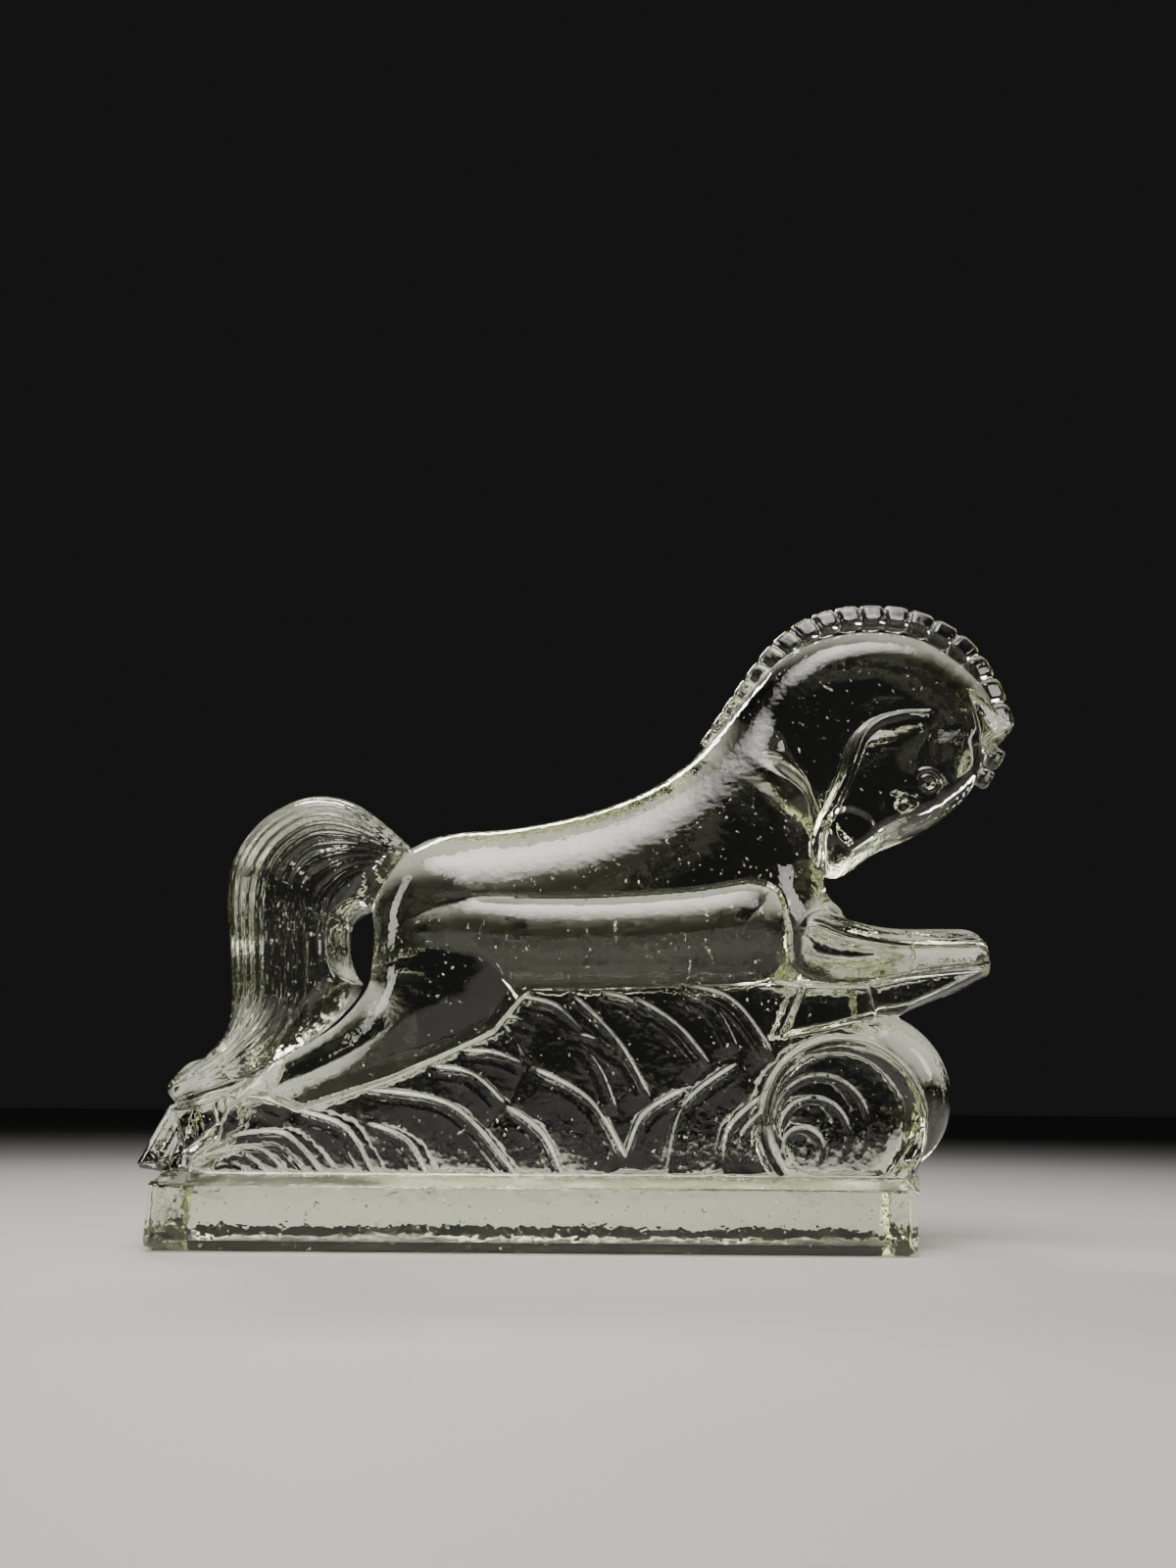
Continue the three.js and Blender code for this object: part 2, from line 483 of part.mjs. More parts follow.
// Joins the ends of the edges that matter least to the shape, until few enough triangles are left.
// Each vertex keeps the sum of its planes, and the cost of a place is its distance from them.
function reduce({ positions, faces }, target) {
  const count = positions.length / 3;
  const planes = new Float64Array(count * 10);
  const around = Array.from({ length: count }, () => new Set());
  const corner = (f, k) => faces[3 * f + k];
  const place = (v) => [positions[3 * v], positions[3 * v + 1], positions[3 * v + 2]];
  const normal = (a, b, c) => {
    const [ux, uy, uz] = [b[0] - a[0], b[1] - a[1], b[2] - a[2]];
    const [vx, vy, vz] = [c[0] - a[0], c[1] - a[1], c[2] - a[2]];
    return [uy * vz - uz * vy, uz * vx - ux * vz, ux * vy - uy * vx];
  };
  for (let f = 0; f < faces.length / 3; f += 1) {
    const [a, b, c] = [0, 1, 2].map((k) => place(corner(f, k)));
    const n = normal(a, b, c);
    const size = Math.hypot(...n);
    if (size === 0) continue;
    const p = [...n.map((v) => v / size), 0];
    p[3] = -(p[0] * a[0] + p[1] * a[1] + p[2] * a[2]);
    for (let k = 0; k < 3; k += 1) {
      const v = corner(f, k);
      around[v].add(f);
      let slot = 10 * v;
      for (let i = 0; i < 4; i += 1) {
        for (let j = i; j < 4; j += 1) {
          planes[slot] += p[i] * p[j] * size;
          slot += 1;
        }
      }
    }
  }
  const cost = (u, v, [x, y, z]) => {
    const q = (i) => planes[10 * u + i] + planes[10 * v + i];
    const square = q(0) * x * x + q(4) * y * y + q(7) * z * z + q(9);
    return square + 2 * (q(1) * x * y + q(2) * x * z + q(3) * x + q(5) * y * z + q(6) * y + q(8) * z);
  };
  const neighbours = (v) => {
    const found = new Set();
    for (const f of around[v]) for (let k = 0; k < 3; k += 1) found.add(corner(f, k));
    found.delete(v);
    return found;
  };

  // A heap of edges, cheapest first; an edge whose ends have changed since is passed over.
  const heap = [];
  const changed = new Uint32Array(count);
  const lift = (item) => {
    let i = heap.push(item) - 1;
    while (i > 0 && heap[(i - 1) >> 1].cost > item.cost) {
      heap[i] = heap[(i - 1) >> 1];
      i = (i - 1) >> 1;
    }
    heap[i] = item;
  };
  const take = () => {
    const first = heap[0];
    const last = heap.pop();
    let i = 0;
    while (2 * i + 1 < heap.length) {
      let child = 2 * i + 1;
      if (child + 1 < heap.length && heap[child + 1].cost < heap[child].cost) child += 1;
      if (heap[child].cost >= last.cost) break;
      heap[i] = heap[child];
      i = child;
    }
    if (heap.length) heap[i] = last;
    return first;
  };
  const offer = (u, v) => {
    const [a, b] = [place(u), place(v)];
    const middle = a.map((value, k) => (value + b[k]) / 2);
    let best = { cost: Infinity };
    for (const at of [a, b, middle]) {
      const long = Math.hypot(a[0] - b[0], a[1] - b[1], a[2] - b[2]);
      const value = Math.max(cost(u, v, at), 0) + 1e-5 * long * long;
      if (value < best.cost) best = { cost: value, at };
    }
    lift({ ...best, u, v, stamp: changed[u] + changed[v] });
  };
  const flips = (v, other, at) => {
    for (const f of around[v]) {
      const ends = [0, 1, 2].map((k) => corner(f, k));
      if (ends.includes(other)) continue;
      const before = normal(...ends.map(place));
      const after = normal(...ends.map((end) => (end === v ? at : place(end))));
      const dot = before[0] * after[0] + before[1] * after[1] + before[2] * after[2];
      const size = Math.hypot(...after);
      if (dot < 0.25 * Math.hypot(...before) * size || size < 1e-5) return true;
    }
    return false;
  };

  for (let v = 0; v < count; v += 1) for (const w of neighbours(v)) if (w > v) offer(v, w);
  let left = faces.length / 3;
  const gone = new Uint8Array(faces.length / 3);
  while (left > target && heap.length) {
    const { u, v, at, stamp } = take();
    if (!around[u].size || !around[v].size || stamp !== changed[u] + changed[v]) continue;
    const shared = [...neighbours(u)].filter((w) => neighbours(v).has(w));
    if (shared.length !== 2 || flips(u, v, at) || flips(v, u, at)) continue;
    for (const f of [...around[v]]) {
      const doomed = [0, 1, 2].some((k) => corner(f, k) === u);
      for (let k = 0; k < 3; k += 1) {
        if (doomed) around[corner(f, k)].delete(f);
        else if (corner(f, k) === v) faces[3 * f + k] = u;
      }
      if (doomed) {
        gone[f] = 1;
        left -= 1;
      } else around[u].add(f);
    }
    around[v].clear();
    at.forEach((value, k) => {
      positions[3 * u + k] = value;
    });
    for (let k = 0; k < 10; k += 1) planes[10 * u + k] += planes[10 * v + k];
    changed[u] += 1;
    changed[v] += 1;
    for (const w of neighbours(u)) offer(u, w);
  }
  return { positions, faces: faces.filter((value, i) => !gone[Math.floor(i / 3)]) };
}

const { positions, faces } = reduce(surface(), TRIANGLES);
const geometry = new THREE.BufferGeometry();
geometry.setAttribute("position", new THREE.Float32BufferAttribute(positions, 3));
geometry.setIndex(faces);
geometry.computeBoundingBox();
const { min, max } = geometry.boundingBox;
geometry.translate(-(min.x + max.x) / 2, -(min.y + max.y) / 2, -min.z);

const glass = new THREE.MeshStandardMaterial({
  name: "clear_glass",
  color: 0xeef3ea,
  roughness: 0.04,
  metalness: 0,
  transparent: true,
  opacity: 0.45,
});
const horse = new THREE.Mesh(geometry, glass);
horse.name = "glass_horse";

const group = new THREE.Group();
group.name = "horse_statue";
group.add(horse);

export default group;
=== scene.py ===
"""A clear pressed-glass horse leaping over a bank of leaves and a scroll, on a low plinth.

The glass was pressed in two mould halves that met on a middle plane, so each face of it is a height
above that plane at every point of the side view. The heights are worked out here in millimetres,
and are then wrapped in one closed surface. The seeds and bubbles are hollows inside that surface.
"""
import math

import bpy
import numpy as np
from bpy.props import FloatProperty, FloatVectorProperty, IntProperty, PointerProperty
from mathutils import Matrix, Vector


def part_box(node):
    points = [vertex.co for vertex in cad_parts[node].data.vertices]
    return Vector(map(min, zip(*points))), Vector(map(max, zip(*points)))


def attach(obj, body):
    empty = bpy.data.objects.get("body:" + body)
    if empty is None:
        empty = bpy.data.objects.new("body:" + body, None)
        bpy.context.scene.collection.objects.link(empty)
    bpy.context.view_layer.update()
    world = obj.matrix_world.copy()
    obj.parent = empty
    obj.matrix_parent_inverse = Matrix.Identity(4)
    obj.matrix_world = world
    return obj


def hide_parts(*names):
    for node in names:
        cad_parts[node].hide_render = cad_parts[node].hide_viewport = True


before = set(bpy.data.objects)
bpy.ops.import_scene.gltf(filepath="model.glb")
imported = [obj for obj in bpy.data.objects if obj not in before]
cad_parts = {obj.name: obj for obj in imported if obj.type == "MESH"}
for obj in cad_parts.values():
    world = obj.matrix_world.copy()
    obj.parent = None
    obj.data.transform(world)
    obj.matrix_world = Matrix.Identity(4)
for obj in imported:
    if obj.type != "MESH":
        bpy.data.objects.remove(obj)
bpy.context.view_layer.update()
NODE = "glass_horse"

bl_info = {
    "name": "Pressed-glass horse",
    "version": (1, 0, 0),
    "blender": (4, 5, 0),
    "location": "3D View > Sidebar > Glass horse",
    "description": "A leaping horse of clear pressed glass on a low plinth",
    "category": "Object",
}

MM = 0.001

# Sizes in millimetres, measured from the mould seam and the middle of the side view. A half is a
# height above the seam, an edge is how far from the outline a form is rounded.
PLINTH = {"left": -112, "right": 88, "slope": 6, "deep": 60, "tall": 15.4, "corner": 4, "round": 2.8}
LEDGE = {"rise": 1.7, "edge": 0.7}
BEVEL = {"tall": 2.2, "inward": 1.3}
BANK_HALF = 16.5
NECK_EDGE = 14.0
HEAD_EDGE = 4.5
BODY_EDGE = 28.0
SHOULDER_STEP = {"front": 2.2, "back": 1.4, "low": 84, "high": 94, "fade": 5}
HEAD_FROM = (56, 92)
POLL = {"across": (84, 98), "up": (122, 136)}  # where the cheek runs out into the neck
FACE = {"across": (60, 72), "down": (138, 122)}
CHEEK = {"rise": 3.0, "edge": 2.6, "run_out": 18, "lip": 1.1, "lip_at": 1.6, "lip_width": 3.4,
         "hollow": 1.6, "hollow_width": 8}
THIGH_HALF, HOCK_HALF, HIND_HOOF_HALF = 21.5, 14.0, 18.0
FOREARM_HALF, KNEE_HALF, HOOF_HALF = 20.0, 13.0, 19.5
ALONG_LEG, ALONG_ARM = (-50, -84), (60, 108)
FAR_HOOF_NEAR, NEAR_HOOF_FAR, NEAR_PASTERN = 4, 14.5, HOCK_HALF / 2  # the same limb from its other side
ROUND = {"bank": 2, "post": 3, "forearm": 8, "shank": 3, "hoof": 2.5, "thigh": 18, "hock": 8,
         "pastern": 5, "hind_hoof": 3, "opening": 6}
ARM_RIDGE = {"rise": 0.9, "width": 5, "from": 4}
OPENING_HALF = 16
TAIL = {"half": 15.5, "edge": 8, "groove": 0.8, "root": (-48, 99), "smooth_root": (6, 26),
        "finer": 0.65}
MANE = {"starts": 0.86, "first": 5.8, "last": 7.5, "first_tall": 5.6, "tall": 7.4,
        "inner": 4.8, "outer": 2.1,
        "edge": 1.9, "web": 2.2}
FAR_RELIEF = 0.5  # how far the leaves of the far side stand out, against the near ones
LEAF = {"step": 0.6, "wall": 0.4, "width": 11, "rim_width": 0.8}
SCROLL = {"centre": (76, 38), "radius": 22.2, "edge": 11, "half": 17.2}
SCROLL_RIM = {"centre": (67, 31), "radius": 20.4, "width": 2.2, "rise": 0.9, "dish": 1.2}
SCROLL_ROLLS = ((61.2, 30.3, 11.7), (59.2, 27.8, 8.6), (56.2, 24, 5))
POST = {"left": 72, "right": 87.6, "half": 15, "low": 12, "top": 24}
FLANK = {"bulge": 2.8, "fall": 5.5, "reach": 12}
EAR = {"centre": (112.2, 137.4), "half": 19.0, "lean_right": 0.12, "lean_up": -0.36, "groove": 1.2,
       "edge": 0.7, "far_edge": 4}
EYE = {"centre": (92.6, 119.2), "radius": 1.9, "rim": 0.7, "pit": 0.4, "lid": 3.9, "lid_rise": 0.6}
NOSTRIL = {"centre": (67.2, 101), "radius": 2.8, "rim": 1.1, "pit": 0.9}
RIM_WIDTH, PIT_WIDTH = 1.5, 2.4
MUZZLE_STEP = 1.0
THROAT = {"fold": 0.3, "turn": 2.4, "from": (-16, -10), "to": (-1, -3.5), "top": (122, 112),
          "foot": (92, 97), "front": (70, 64)}
FIRE_POLISH = 0.22  # how far the heat of the press rounded every edge
FILLET = 1.2
SOFT = 0.9  # how far the kinks between the knots of a soft outline are smoothed out
TINY = 0.01
NET_MARGIN = 1.5
CURL = 0.9  # radians that the glass may turn within one millimetre and still be shaded as round
WIDEST_TURN = 1.1

# Outlines in the side view, in millimetres
TRUNK = (
    (-59, 77), (-56, 92), (-48, 103.4), (-38, 107.8), (-18.5, 109.8), (0.6, 114), (16.8, 120.4),
    (27, 127), (34.8, 134.6), (43, 144.6), (53, 156.7), (65, 165.1), (81, 168.5), (97.2, 165.9),
    (110.3, 156.4), (117.2, 146), (117.6, 138), (113.6, 130.6), (110.6, 124.4), (106.6, 118.2),
    (96, 110.1), (82.8, 104.4), (76.3, 99.7), (71.6, 97.1), (67, 97.5), (67.8, 91), (72.5, 84.4),
    (73, 66), (48, 60), (18, 58), (-14, 57), (-34, 62), (-50, 66),
)
SHOULDER = ((30, 140), (45, 132.4), (50.5, 125), (59, 117), (63, 106), (67, 94), (72, 80))
HEAD = (
    (96, 141.4), (88.1, 140.8), (79.9, 138.5), (74.3, 133.7), (71.1, 126.5), (68.7, 120.4),
    (64.5, 112.2), (61.8, 106.2), (62, 100.5), (66, 96.4), (73, 94), (82, 101), (96, 110),
    (109, 120), (120, 130), (123, 141), (116, 152), (105, 148),
)
JAW = (
    (93, 141), (88.1, 140.8), (79.9, 138.5), (74.3, 133.7), (71.1, 126.5), (68.7, 120.4),
    (64.5, 112.2), (61.8, 106.2), (62, 100.5),
)
MUZZLE = (
    (68.2, 112), (74, 111.6), (77, 109.4), (78.4, 105), (78.6, 100), (76, 92), (60, 90), (57, 104),
)
HIND = (
    (-49, 103), (-57, 90), (-59, 76), (-58.4, 66), (-66, 55.6), (-79, 47.2), (-90, 40.2),
    (-101, 36), (-99, 28), (-88, 29), (-74, 32), (-58, 36), (-40, 40.8), (-26, 47), (-17, 56),
    (-9, 74), (-18, 95), (-34, 106),
)
HIND_HOOF = ((-106.6, 34), (-102.3, 20.6), (-98.6, 20.4), (-89.5, 28.5), (-92, 37.4))
FAR_HOOF = ((-110.4, 33.6), (-117.8, 18.6), (-116.8, 17.2), (-107, 16), (-104, 24), (-103, 36))
FAR_PASTERN = ((-111, 37), (-108, 42.8), (-103, 45.8), (-92, 45.4), (-90, 36), (-103, 32))
FOREARM = (
    (51, 86), (62, 88), (72, 84.6), (84, 82.4), (99, 82.4), (106, 82), (110, 78.6), (110.8, 72),
    (104, 70.4), (92, 69), (79, 65.8), (64, 65.6), (55, 68.6), (50, 77),
)
SHANK = (
    (110.8, 74), (110, 69.2), (103.6, 66), (86, 58.6), (74, 56.5), (73, 67), (84, 69.5), (104, 72.5),
)
HOOF = ((56.5, 67), (50.2, 52.4), (51.4, 51), (64, 53.2), (77.6, 56.8), (75.6, 66.6))
BANK = (
    (-102, 14), (-100, 21), (-94, 26), (-91.6, 34), (-86, 38.2), (-80, 38), (-73, 34.4), (-50, 42),
    (-24, 54), (-14, 66), (30, 72), (60, 66), (70, 58), (84, 52), (84, 14),
)
TAIL_OUTER = (
    (-47, 102.5), (-55, 109.8), (-64.5, 116.3), (-73.5, 118.2), (-81.6, 116.4), (-91, 109.9),
    (-97.2, 99.4), (-98.2, 88), (-96.4, 74), (-94.9, 58), (-98.6, 48.8), (-109.4, 40.4),
)
TAIL_INNER = (
    (-50, 96), (-56, 88.6), (-60, 85), (-63, 81.6), (-63.6, 76), (-61.6, 70), (-61.4, 64), (-70, 54),
    (-84, 44), (-97, 37.6), (-109.4, 35),
)
LAST_STRAND = (
    (-49, 94.6), (-56, 95.8), (-62.6, 93.4), (-67.4, 87.6), (-69, 79), (-68.6, 68), (-69, 58),
    (-75.4, 48.6), (-87, 41.4), (-98, 37), (-109.4, 35.2),
)
OPENING = (
    (-59.8, 86.2), (-64.2, 82.6), (-65.2, 77), (-63.4, 70.4),
    (-60.4, 66.4), (-58.2, 68.4), (-57.4, 76), (-58, 82.6),
)
FLANK_LINE = (
    (-54, 86.5), (-30, 88), (0, 87.6), (28, 89.5), (44, 91.8),
    (51.6, 89), (53.6, 80), (55, 71.5), (62, 67.4), (74, 66),
)
ARM_LINE = ((61, 80), (68, 77.6), (78, 76.6), (92, 76.3), (108, 76.4))
EAR_SIDES = ((107.4, 145.8), (118.8, 135.4), (110.4, 131))
CREST = (
    (36.6, 136), (46.2, 150), (57.2, 164), (69, 171.9), (82.9, 174.4),
    (97.4, 172.6), (109.8, 165), (116.9, 153), (119.6, 143.8),
)
# The two beads of the forelock: centre, way along the brow, width and height
FORELOCK = ((116.6, 132, 0.5, 0.86, 6, 6), (113.4, 126, 0.5, 0.86, 5.4, 5.4))
# Leaves: root, tip, and how far the edge bows to the left of the way from root to tip
LEAVES = (
    (-99, 20, -77.5, 16.5, 4.6), (-91, 23, -73.8, 16.5, 3.6), (-91, 26, -64.6, 16.5, 6),
    (-74, 33, -52, 16.5, 4.6), (-94, 27, -75, 33.6, 6), (-55, 29.8, -38.6, 16.5, 3.2),
    (-57, 38, -16.4, 17, 7.4), (-40, 44, -19.5, 34.4, 3.2), (-20, 34.4, -4.8, 17, 2.8),
    (-32, 47.8, -14.8, 44.6, 1.4), (-14, 44.2, 11.6, 20.6, 4.6), (-22, 57, -12, 54.4, 0.6),
    (-21.5, 55.6, -15, 45, 1), (-17.5, 62, 0.8, 52.4, 2.6), (-7, 53.4, 13.6, 44, 2.4),
    (-4, 63.5, 18, 35.6, 2.4), (4.6, 63, 17.6, 57, 1.4), (-2, 52, 9, 33, 1.6),
    (13, 62, 33, 45, 2), (20.5, 66, 49.6, 47.4, 6), (23, 66, 40.6, 48.4, 3.6),
    (10.8, 20, 26.4, 38.8, 4), (21.4, 16.5, 40, 45.4, 6), (36, 16.5, 45.4, 36.8, 4),
    (40, 16.5, 48.6, 35.6, 4),
)
# Bubbles that show in the glass: place in the side view, depth behind the middle, half sizes, lean
BUBBLES = (
    ((50.2, 127.2), -12, (2.3, 1.4), 10),
    ((86.9, 77.0), -6, (0.7, 2.4), 4),
    ((68.0, 149.6), -4, (1.6, 0.5), 20),
    ((49.6, 89.0), -8, (0.9, 0.7), 0),
    ((88.0, 68.0), -5, (1.2, 1.1), 0),
    ((-79.5, 97.4), -5, (0.6, 0.6), 0),
    ((-77.0, 94.8), -3, (0.5, 0.5), 0),
    ((-104.0, 6.2), -22, (0.7, 0.6), 0),
    ((-30.0, 6.6), -20, (0.7, 0.6), 0),
)

# The photograph's camera: focal length and rise in its own pixels, and the eye's place in metres
PHOTO = {"long_side": 1600, "focal": 1290, "rise": 320, "roll": 0.45}
EYE_PLACE = (-0.0022, -0.350, 0.0364)
SENSOR = 36.0


# ---------------------------------------------------------------- height fields of the two faces


def mix(a, b, t):
    return a + (b - a) * t


def ease(low, high, value):
    t = np.clip((value - low) / (high - low), 0, 1)
    return t * t * (3 - 2 * t)


def ridge(away, width):
    """A low rounded ridge: 1 on its line, 0 from half its width away."""
    return np.maximum(0, 1 - (2 * away / width) ** 2)


def signed_root(square):
    return np.sign(square) * np.sqrt(np.abs(square))


def swell(deep, half, edge):
    """A rounded form: full height from edge inwards, a quarter ellipse from there to the outline."""
    t = 1 - np.minimum(deep / edge, 1)
    return signed_root(half * half * (1 - t * t))


def join(a, b, radius=FILLET):
    """The larger of two heights, with a fillet where they cross inside the glass."""
    near = np.clip(1 - np.abs(a - b) / radius, 0, 1)
    fillet = np.where(np.minimum(a, b) > 0, near * near * radius / 4, 0)
    return np.maximum(a, b) + fillet


def soften(field, sigma):
    """Smooths a field of the side view, sigma in points."""
    if sigma <= 0:
        return field
    reach = math.ceil(2.5 * sigma)
    weights = np.exp(-0.5 * (np.arange(-reach, reach + 1) / sigma) ** 2)
    weights /= weights.sum()
    for _ in range(2):
        wide = np.pad(field, ((reach, reach), (0, 0)), mode="edge")
        field = sum(w * wide[i:i + field.shape[0]] for i, w in enumerate(weights)).T
    return field


def curve(knots, closed=False, steps=8):
    """A smooth line through a few knots."""
    knots = np.array(knots, float)
    count = len(knots)
    points = []
    for i in range(count if closed else count - 1):
        around = [(i + k) % count if closed else min(max(i + k, 0), count - 1) for k in (-1, 0, 1, 2)]
        p, q, r, s = knots[around]
        for t in np.arange(steps) / steps:
            bend = 2 * p - 5 * q + 4 * r - s + t * (3 * (q - r) + s - p)
            points.append(q + 0.5 * t * (r - p + t * bend))
    if not closed:
        points.append(knots[-1])
    return np.array(points)


def nearest(points, x, z, closed=False):
    """How far each place is from a line, how far along the line, on its left or not, inside or not."""
    square = np.full(x.shape, np.inf)
    along = np.zeros(x.shape)
    left = np.zeros(x.shape, bool)
    inside = np.zeros(x.shape, bool)
    ends = np.roll(points, -1, axis=0) if closed else points[1:]
    for i, ((ax, az), (bx, bz)) in enumerate(zip(points, ends)):
        dx, dz = bx - ax, bz - az
        px, pz = x - ax, z - az
        t = np.clip((px * dx + pz * dz) / (dx * dx + dz * dz), 0, 1)
        gap = (px - t * dx) ** 2 + (pz - t * dz) ** 2
        closer = gap < square
        square[closer] = gap[closer]
        along[closer] = (i + t[closer]) / len(ends)
        left[closer] = (dx * pz - dz * px)[closer] > 0
        if closed and dz:
            inside ^= ((az > z) != (bz > z)) & (px < pz / dz * dx)
    return np.sqrt(square), along, left, inside


class SideView:
    """The points of the side view: columns of x and rows of z, in millimetres."""

    BOX = (-123.0, 125.0, 181.0)
    REACH = 7.0

    def __init__(self, cell):
        left, right, top = self.BOX
        self.step = cell / 2
        self.xs = np.arange(left, right, self.step)
        self.zs = np.arange(-cell / 2, top, self.step)
        self.x, self.z = np.meshgrid(self.xs, np.maximum(self.zs, TINY), indexing="ij")

    def window(self, points, reach):
        low, high = np.min(points, axis=0) - reach, np.max(points, axis=0) + reach
        spans = zip((self.xs, self.zs), low, high)
        return tuple(slice(*np.searchsorted(axis, (first, last))) for axis, first, last in spans)

    def depth(self, outline, soft=0.0):
        """How deep each place lies inside an outline: negative outside it."""
        outline = np.array(outline, float)
        part = self.window(outline, self.REACH)
        away, _, _, inside = nearest(outline, self.x[part], self.z[part], closed=True)
        field = np.full(self.x.shape, -self.REACH)
        field[part] = soften(np.where(inside, away, -away), soft / self.step)
        return field

    def line(self, points, reach):
        """How far each place is from a line, up to reach, and whether it lies on the line's left."""
        points = np.array(points, float)
        part = self.window(points, reach)
        away = np.full(self.x.shape, float(reach))
        left = np.zeros(self.x.shape, bool)
        away[part], _, left[part], _ = nearest(points, self.x[part], self.z[part])
        return np.minimum(away, reach), left


def plinth(view):
    """Straight sides, sloping ends that meet on the seam, a ledge above and a bevel below."""
    x, z = view.x, view.z
    half = PLINTH["deep"] / 2
    flat = half - PLINTH["corner"]
    end = np.minimum(x - PLINTH["left"], PLINTH["right"] - x)
    rise = np.minimum(PLINTH["tall"] + LEDGE["rise"] - z, z)

    def corner(sideways):
        r = PLINTH["round"]
        turned = r - np.hypot(r - sideways, r - rise)
        return np.where((sideways >= r) | (rise >= r), np.minimum(sideways, rise), turned)

    deep = corner(end)
    in_front = corner(end - PLINTH["slope"])
    sloping = flat * deep / np.maximum(deep - in_front, TINY)
    ends = flat + swell(np.maximum(end - PLINTH["slope"], 0), PLINTH["corner"], PLINTH["corner"])
    above = np.clip((z - PLINTH["tall"]) / LEDGE["rise"], 0, 1)
    edge = half - LEDGE["edge"] * ease(PLINTH["tall"] - LEDGE["edge"], PLINTH["tall"], z)
    ledge = np.where(above > 0, mix(half - LEDGE["edge"], BANK_HALF, above), edge)
    bevel = half - BEVEL["inward"] * np.clip(1 - z / BEVEL["tall"], 0, 1)
    full = np.minimum(np.minimum(ends, ledge), bevel)
    return np.where(deep <= 0, deep * flat / PLINTH["slope"], np.where(in_front <= 0, sloping, full))


def foliage(view, rim_rise):
    """How far the leaves stand above the bank: each falls away from its bowed edge, which has a rim."""
    top = np.zeros(view.x.shape)
    for ax, az, bx, bz, bow in LEAVES:
        length = math.hypot(bx - ax, bz - az)
        middle = ((ax + bx) / 2 - (bz - az) / length * bow, (az + bz) / 2 + (bx - ax) / length * bow)
        edge = curve(((ax, az), middle, (bx, bz)), steps=12)
        part = view.window(edge, LEAF["width"])
        away, along, left, _ = nearest(edge, view.x[part], view.z[part])
        blade = np.maximum(0, 1 - away / np.where(left, LEAF["wall"], LEAF["width"]))
        rim = ridge(np.abs(np.where(left, -away, away) - LEAF["rim_width"] / 2), LEAF["rim_width"])
        vein = 0.14 * ridge(np.abs(away - 3.4), 1) * np.where(left, 0, 1) * ease(0.1, 0.4, along)
        ends = np.where((along <= 0) | (along >= 1), np.maximum(0, 1 - away / 2), 1)
        taper = np.minimum(1, np.minimum(5 * along, 6 * (1 - along) + 0.25)) * ends
        rise = min(1, length / 16) * taper * (LEAF["step"] * blade + rim_rise * rim + vein)
        top[part] = np.maximum(top[part], rise)
    return top


def scroll(view):
    """A drum whose face has a raised rim, dished inside, with smaller rolls in it."""
    x, z = view.x, view.z
    half = swell(SCROLL["radius"] - np.hypot(x - SCROLL["centre"][0], z - SCROLL["centre"][1]),
                 SCROLL["half"], SCROLL["edge"])
    cx, cz = SCROLL_RIM["centre"]
    inward = SCROLL_RIM["radius"] - np.hypot(x - cx, z - cz)
    raised = ridge(np.abs(inward), SCROLL_RIM["width"]) * ease(16, 22, z)
    for rx, rz, radius in SCROLL_ROLLS:
        away = np.abs(np.hypot(x - rx, z - rz) - radius)
        raised = np.maximum(raised, 0.7 * ridge(away, 1.8) * ease(rz - radius, rz, z))
    flat = SCROLL["half"] - SCROLL_RIM["dish"] * ease(0, 5, inward)
    dished = np.maximum(np.where(inward < 0, half, 0), flat + SCROLL_RIM["rise"] * raised)
    return np.where((inward < -SCROLL_RIM["width"] / 2) | (z < PLINTH["tall"]), half, dished)


def mane(view, bead_count):
    """Keystone beads round the crest over a thinner web, and two more as a forelock."""
    path = curve(CREST, steps=24)
    run = np.concatenate(([0], np.cumsum(np.hypot(*np.diff(path, axis=0).T))))
    way = np.gradient(path, axis=0)
    way /= np.hypot(*way.T)[:, None]
    t = np.arange(bead_count) / (bead_count - 1)
    along = t * mix(MANE["starts"], 1, t) * run[-1]
    rows = [
        (*[np.interp(a, run, line) for line in (*path.T, *way.T)],
         mix(MANE["first"], MANE["last"], min(1, 1.7 * s)),
         mix(MANE["first_tall"], MANE["tall"], min(1, 2.4 * s)))
        for a, s in zip(along, t)
    ]
    best = np.full(view.x.shape, -view.REACH)
    for cx, cz, wx, wz, wide, tall in (*rows, *FORELOCK):
        part = view.window(((cx, cz),), 9)
        dx, dz = view.x[part] - cx, view.z[part] - cz
        v = np.abs(dx * wx + dz * wz) * 2 / wide
        u = (dz * wx - dx * wz) * 2 / tall
        deep = (1 - (np.abs(u) ** 5 + v ** 5) ** 0.2) * wide / 2
        wedge = mix(MANE["inner"], MANE["outer"], np.clip(u + 1, 0, 2) / 2)
        best[part] = np.maximum(best[part], swell(deep, 1, MANE["edge"]) * wedge)
    away, _ = view.line(path, view.REACH)
    return np.maximum(best, swell(2.5 - away, MANE["web"], 2))


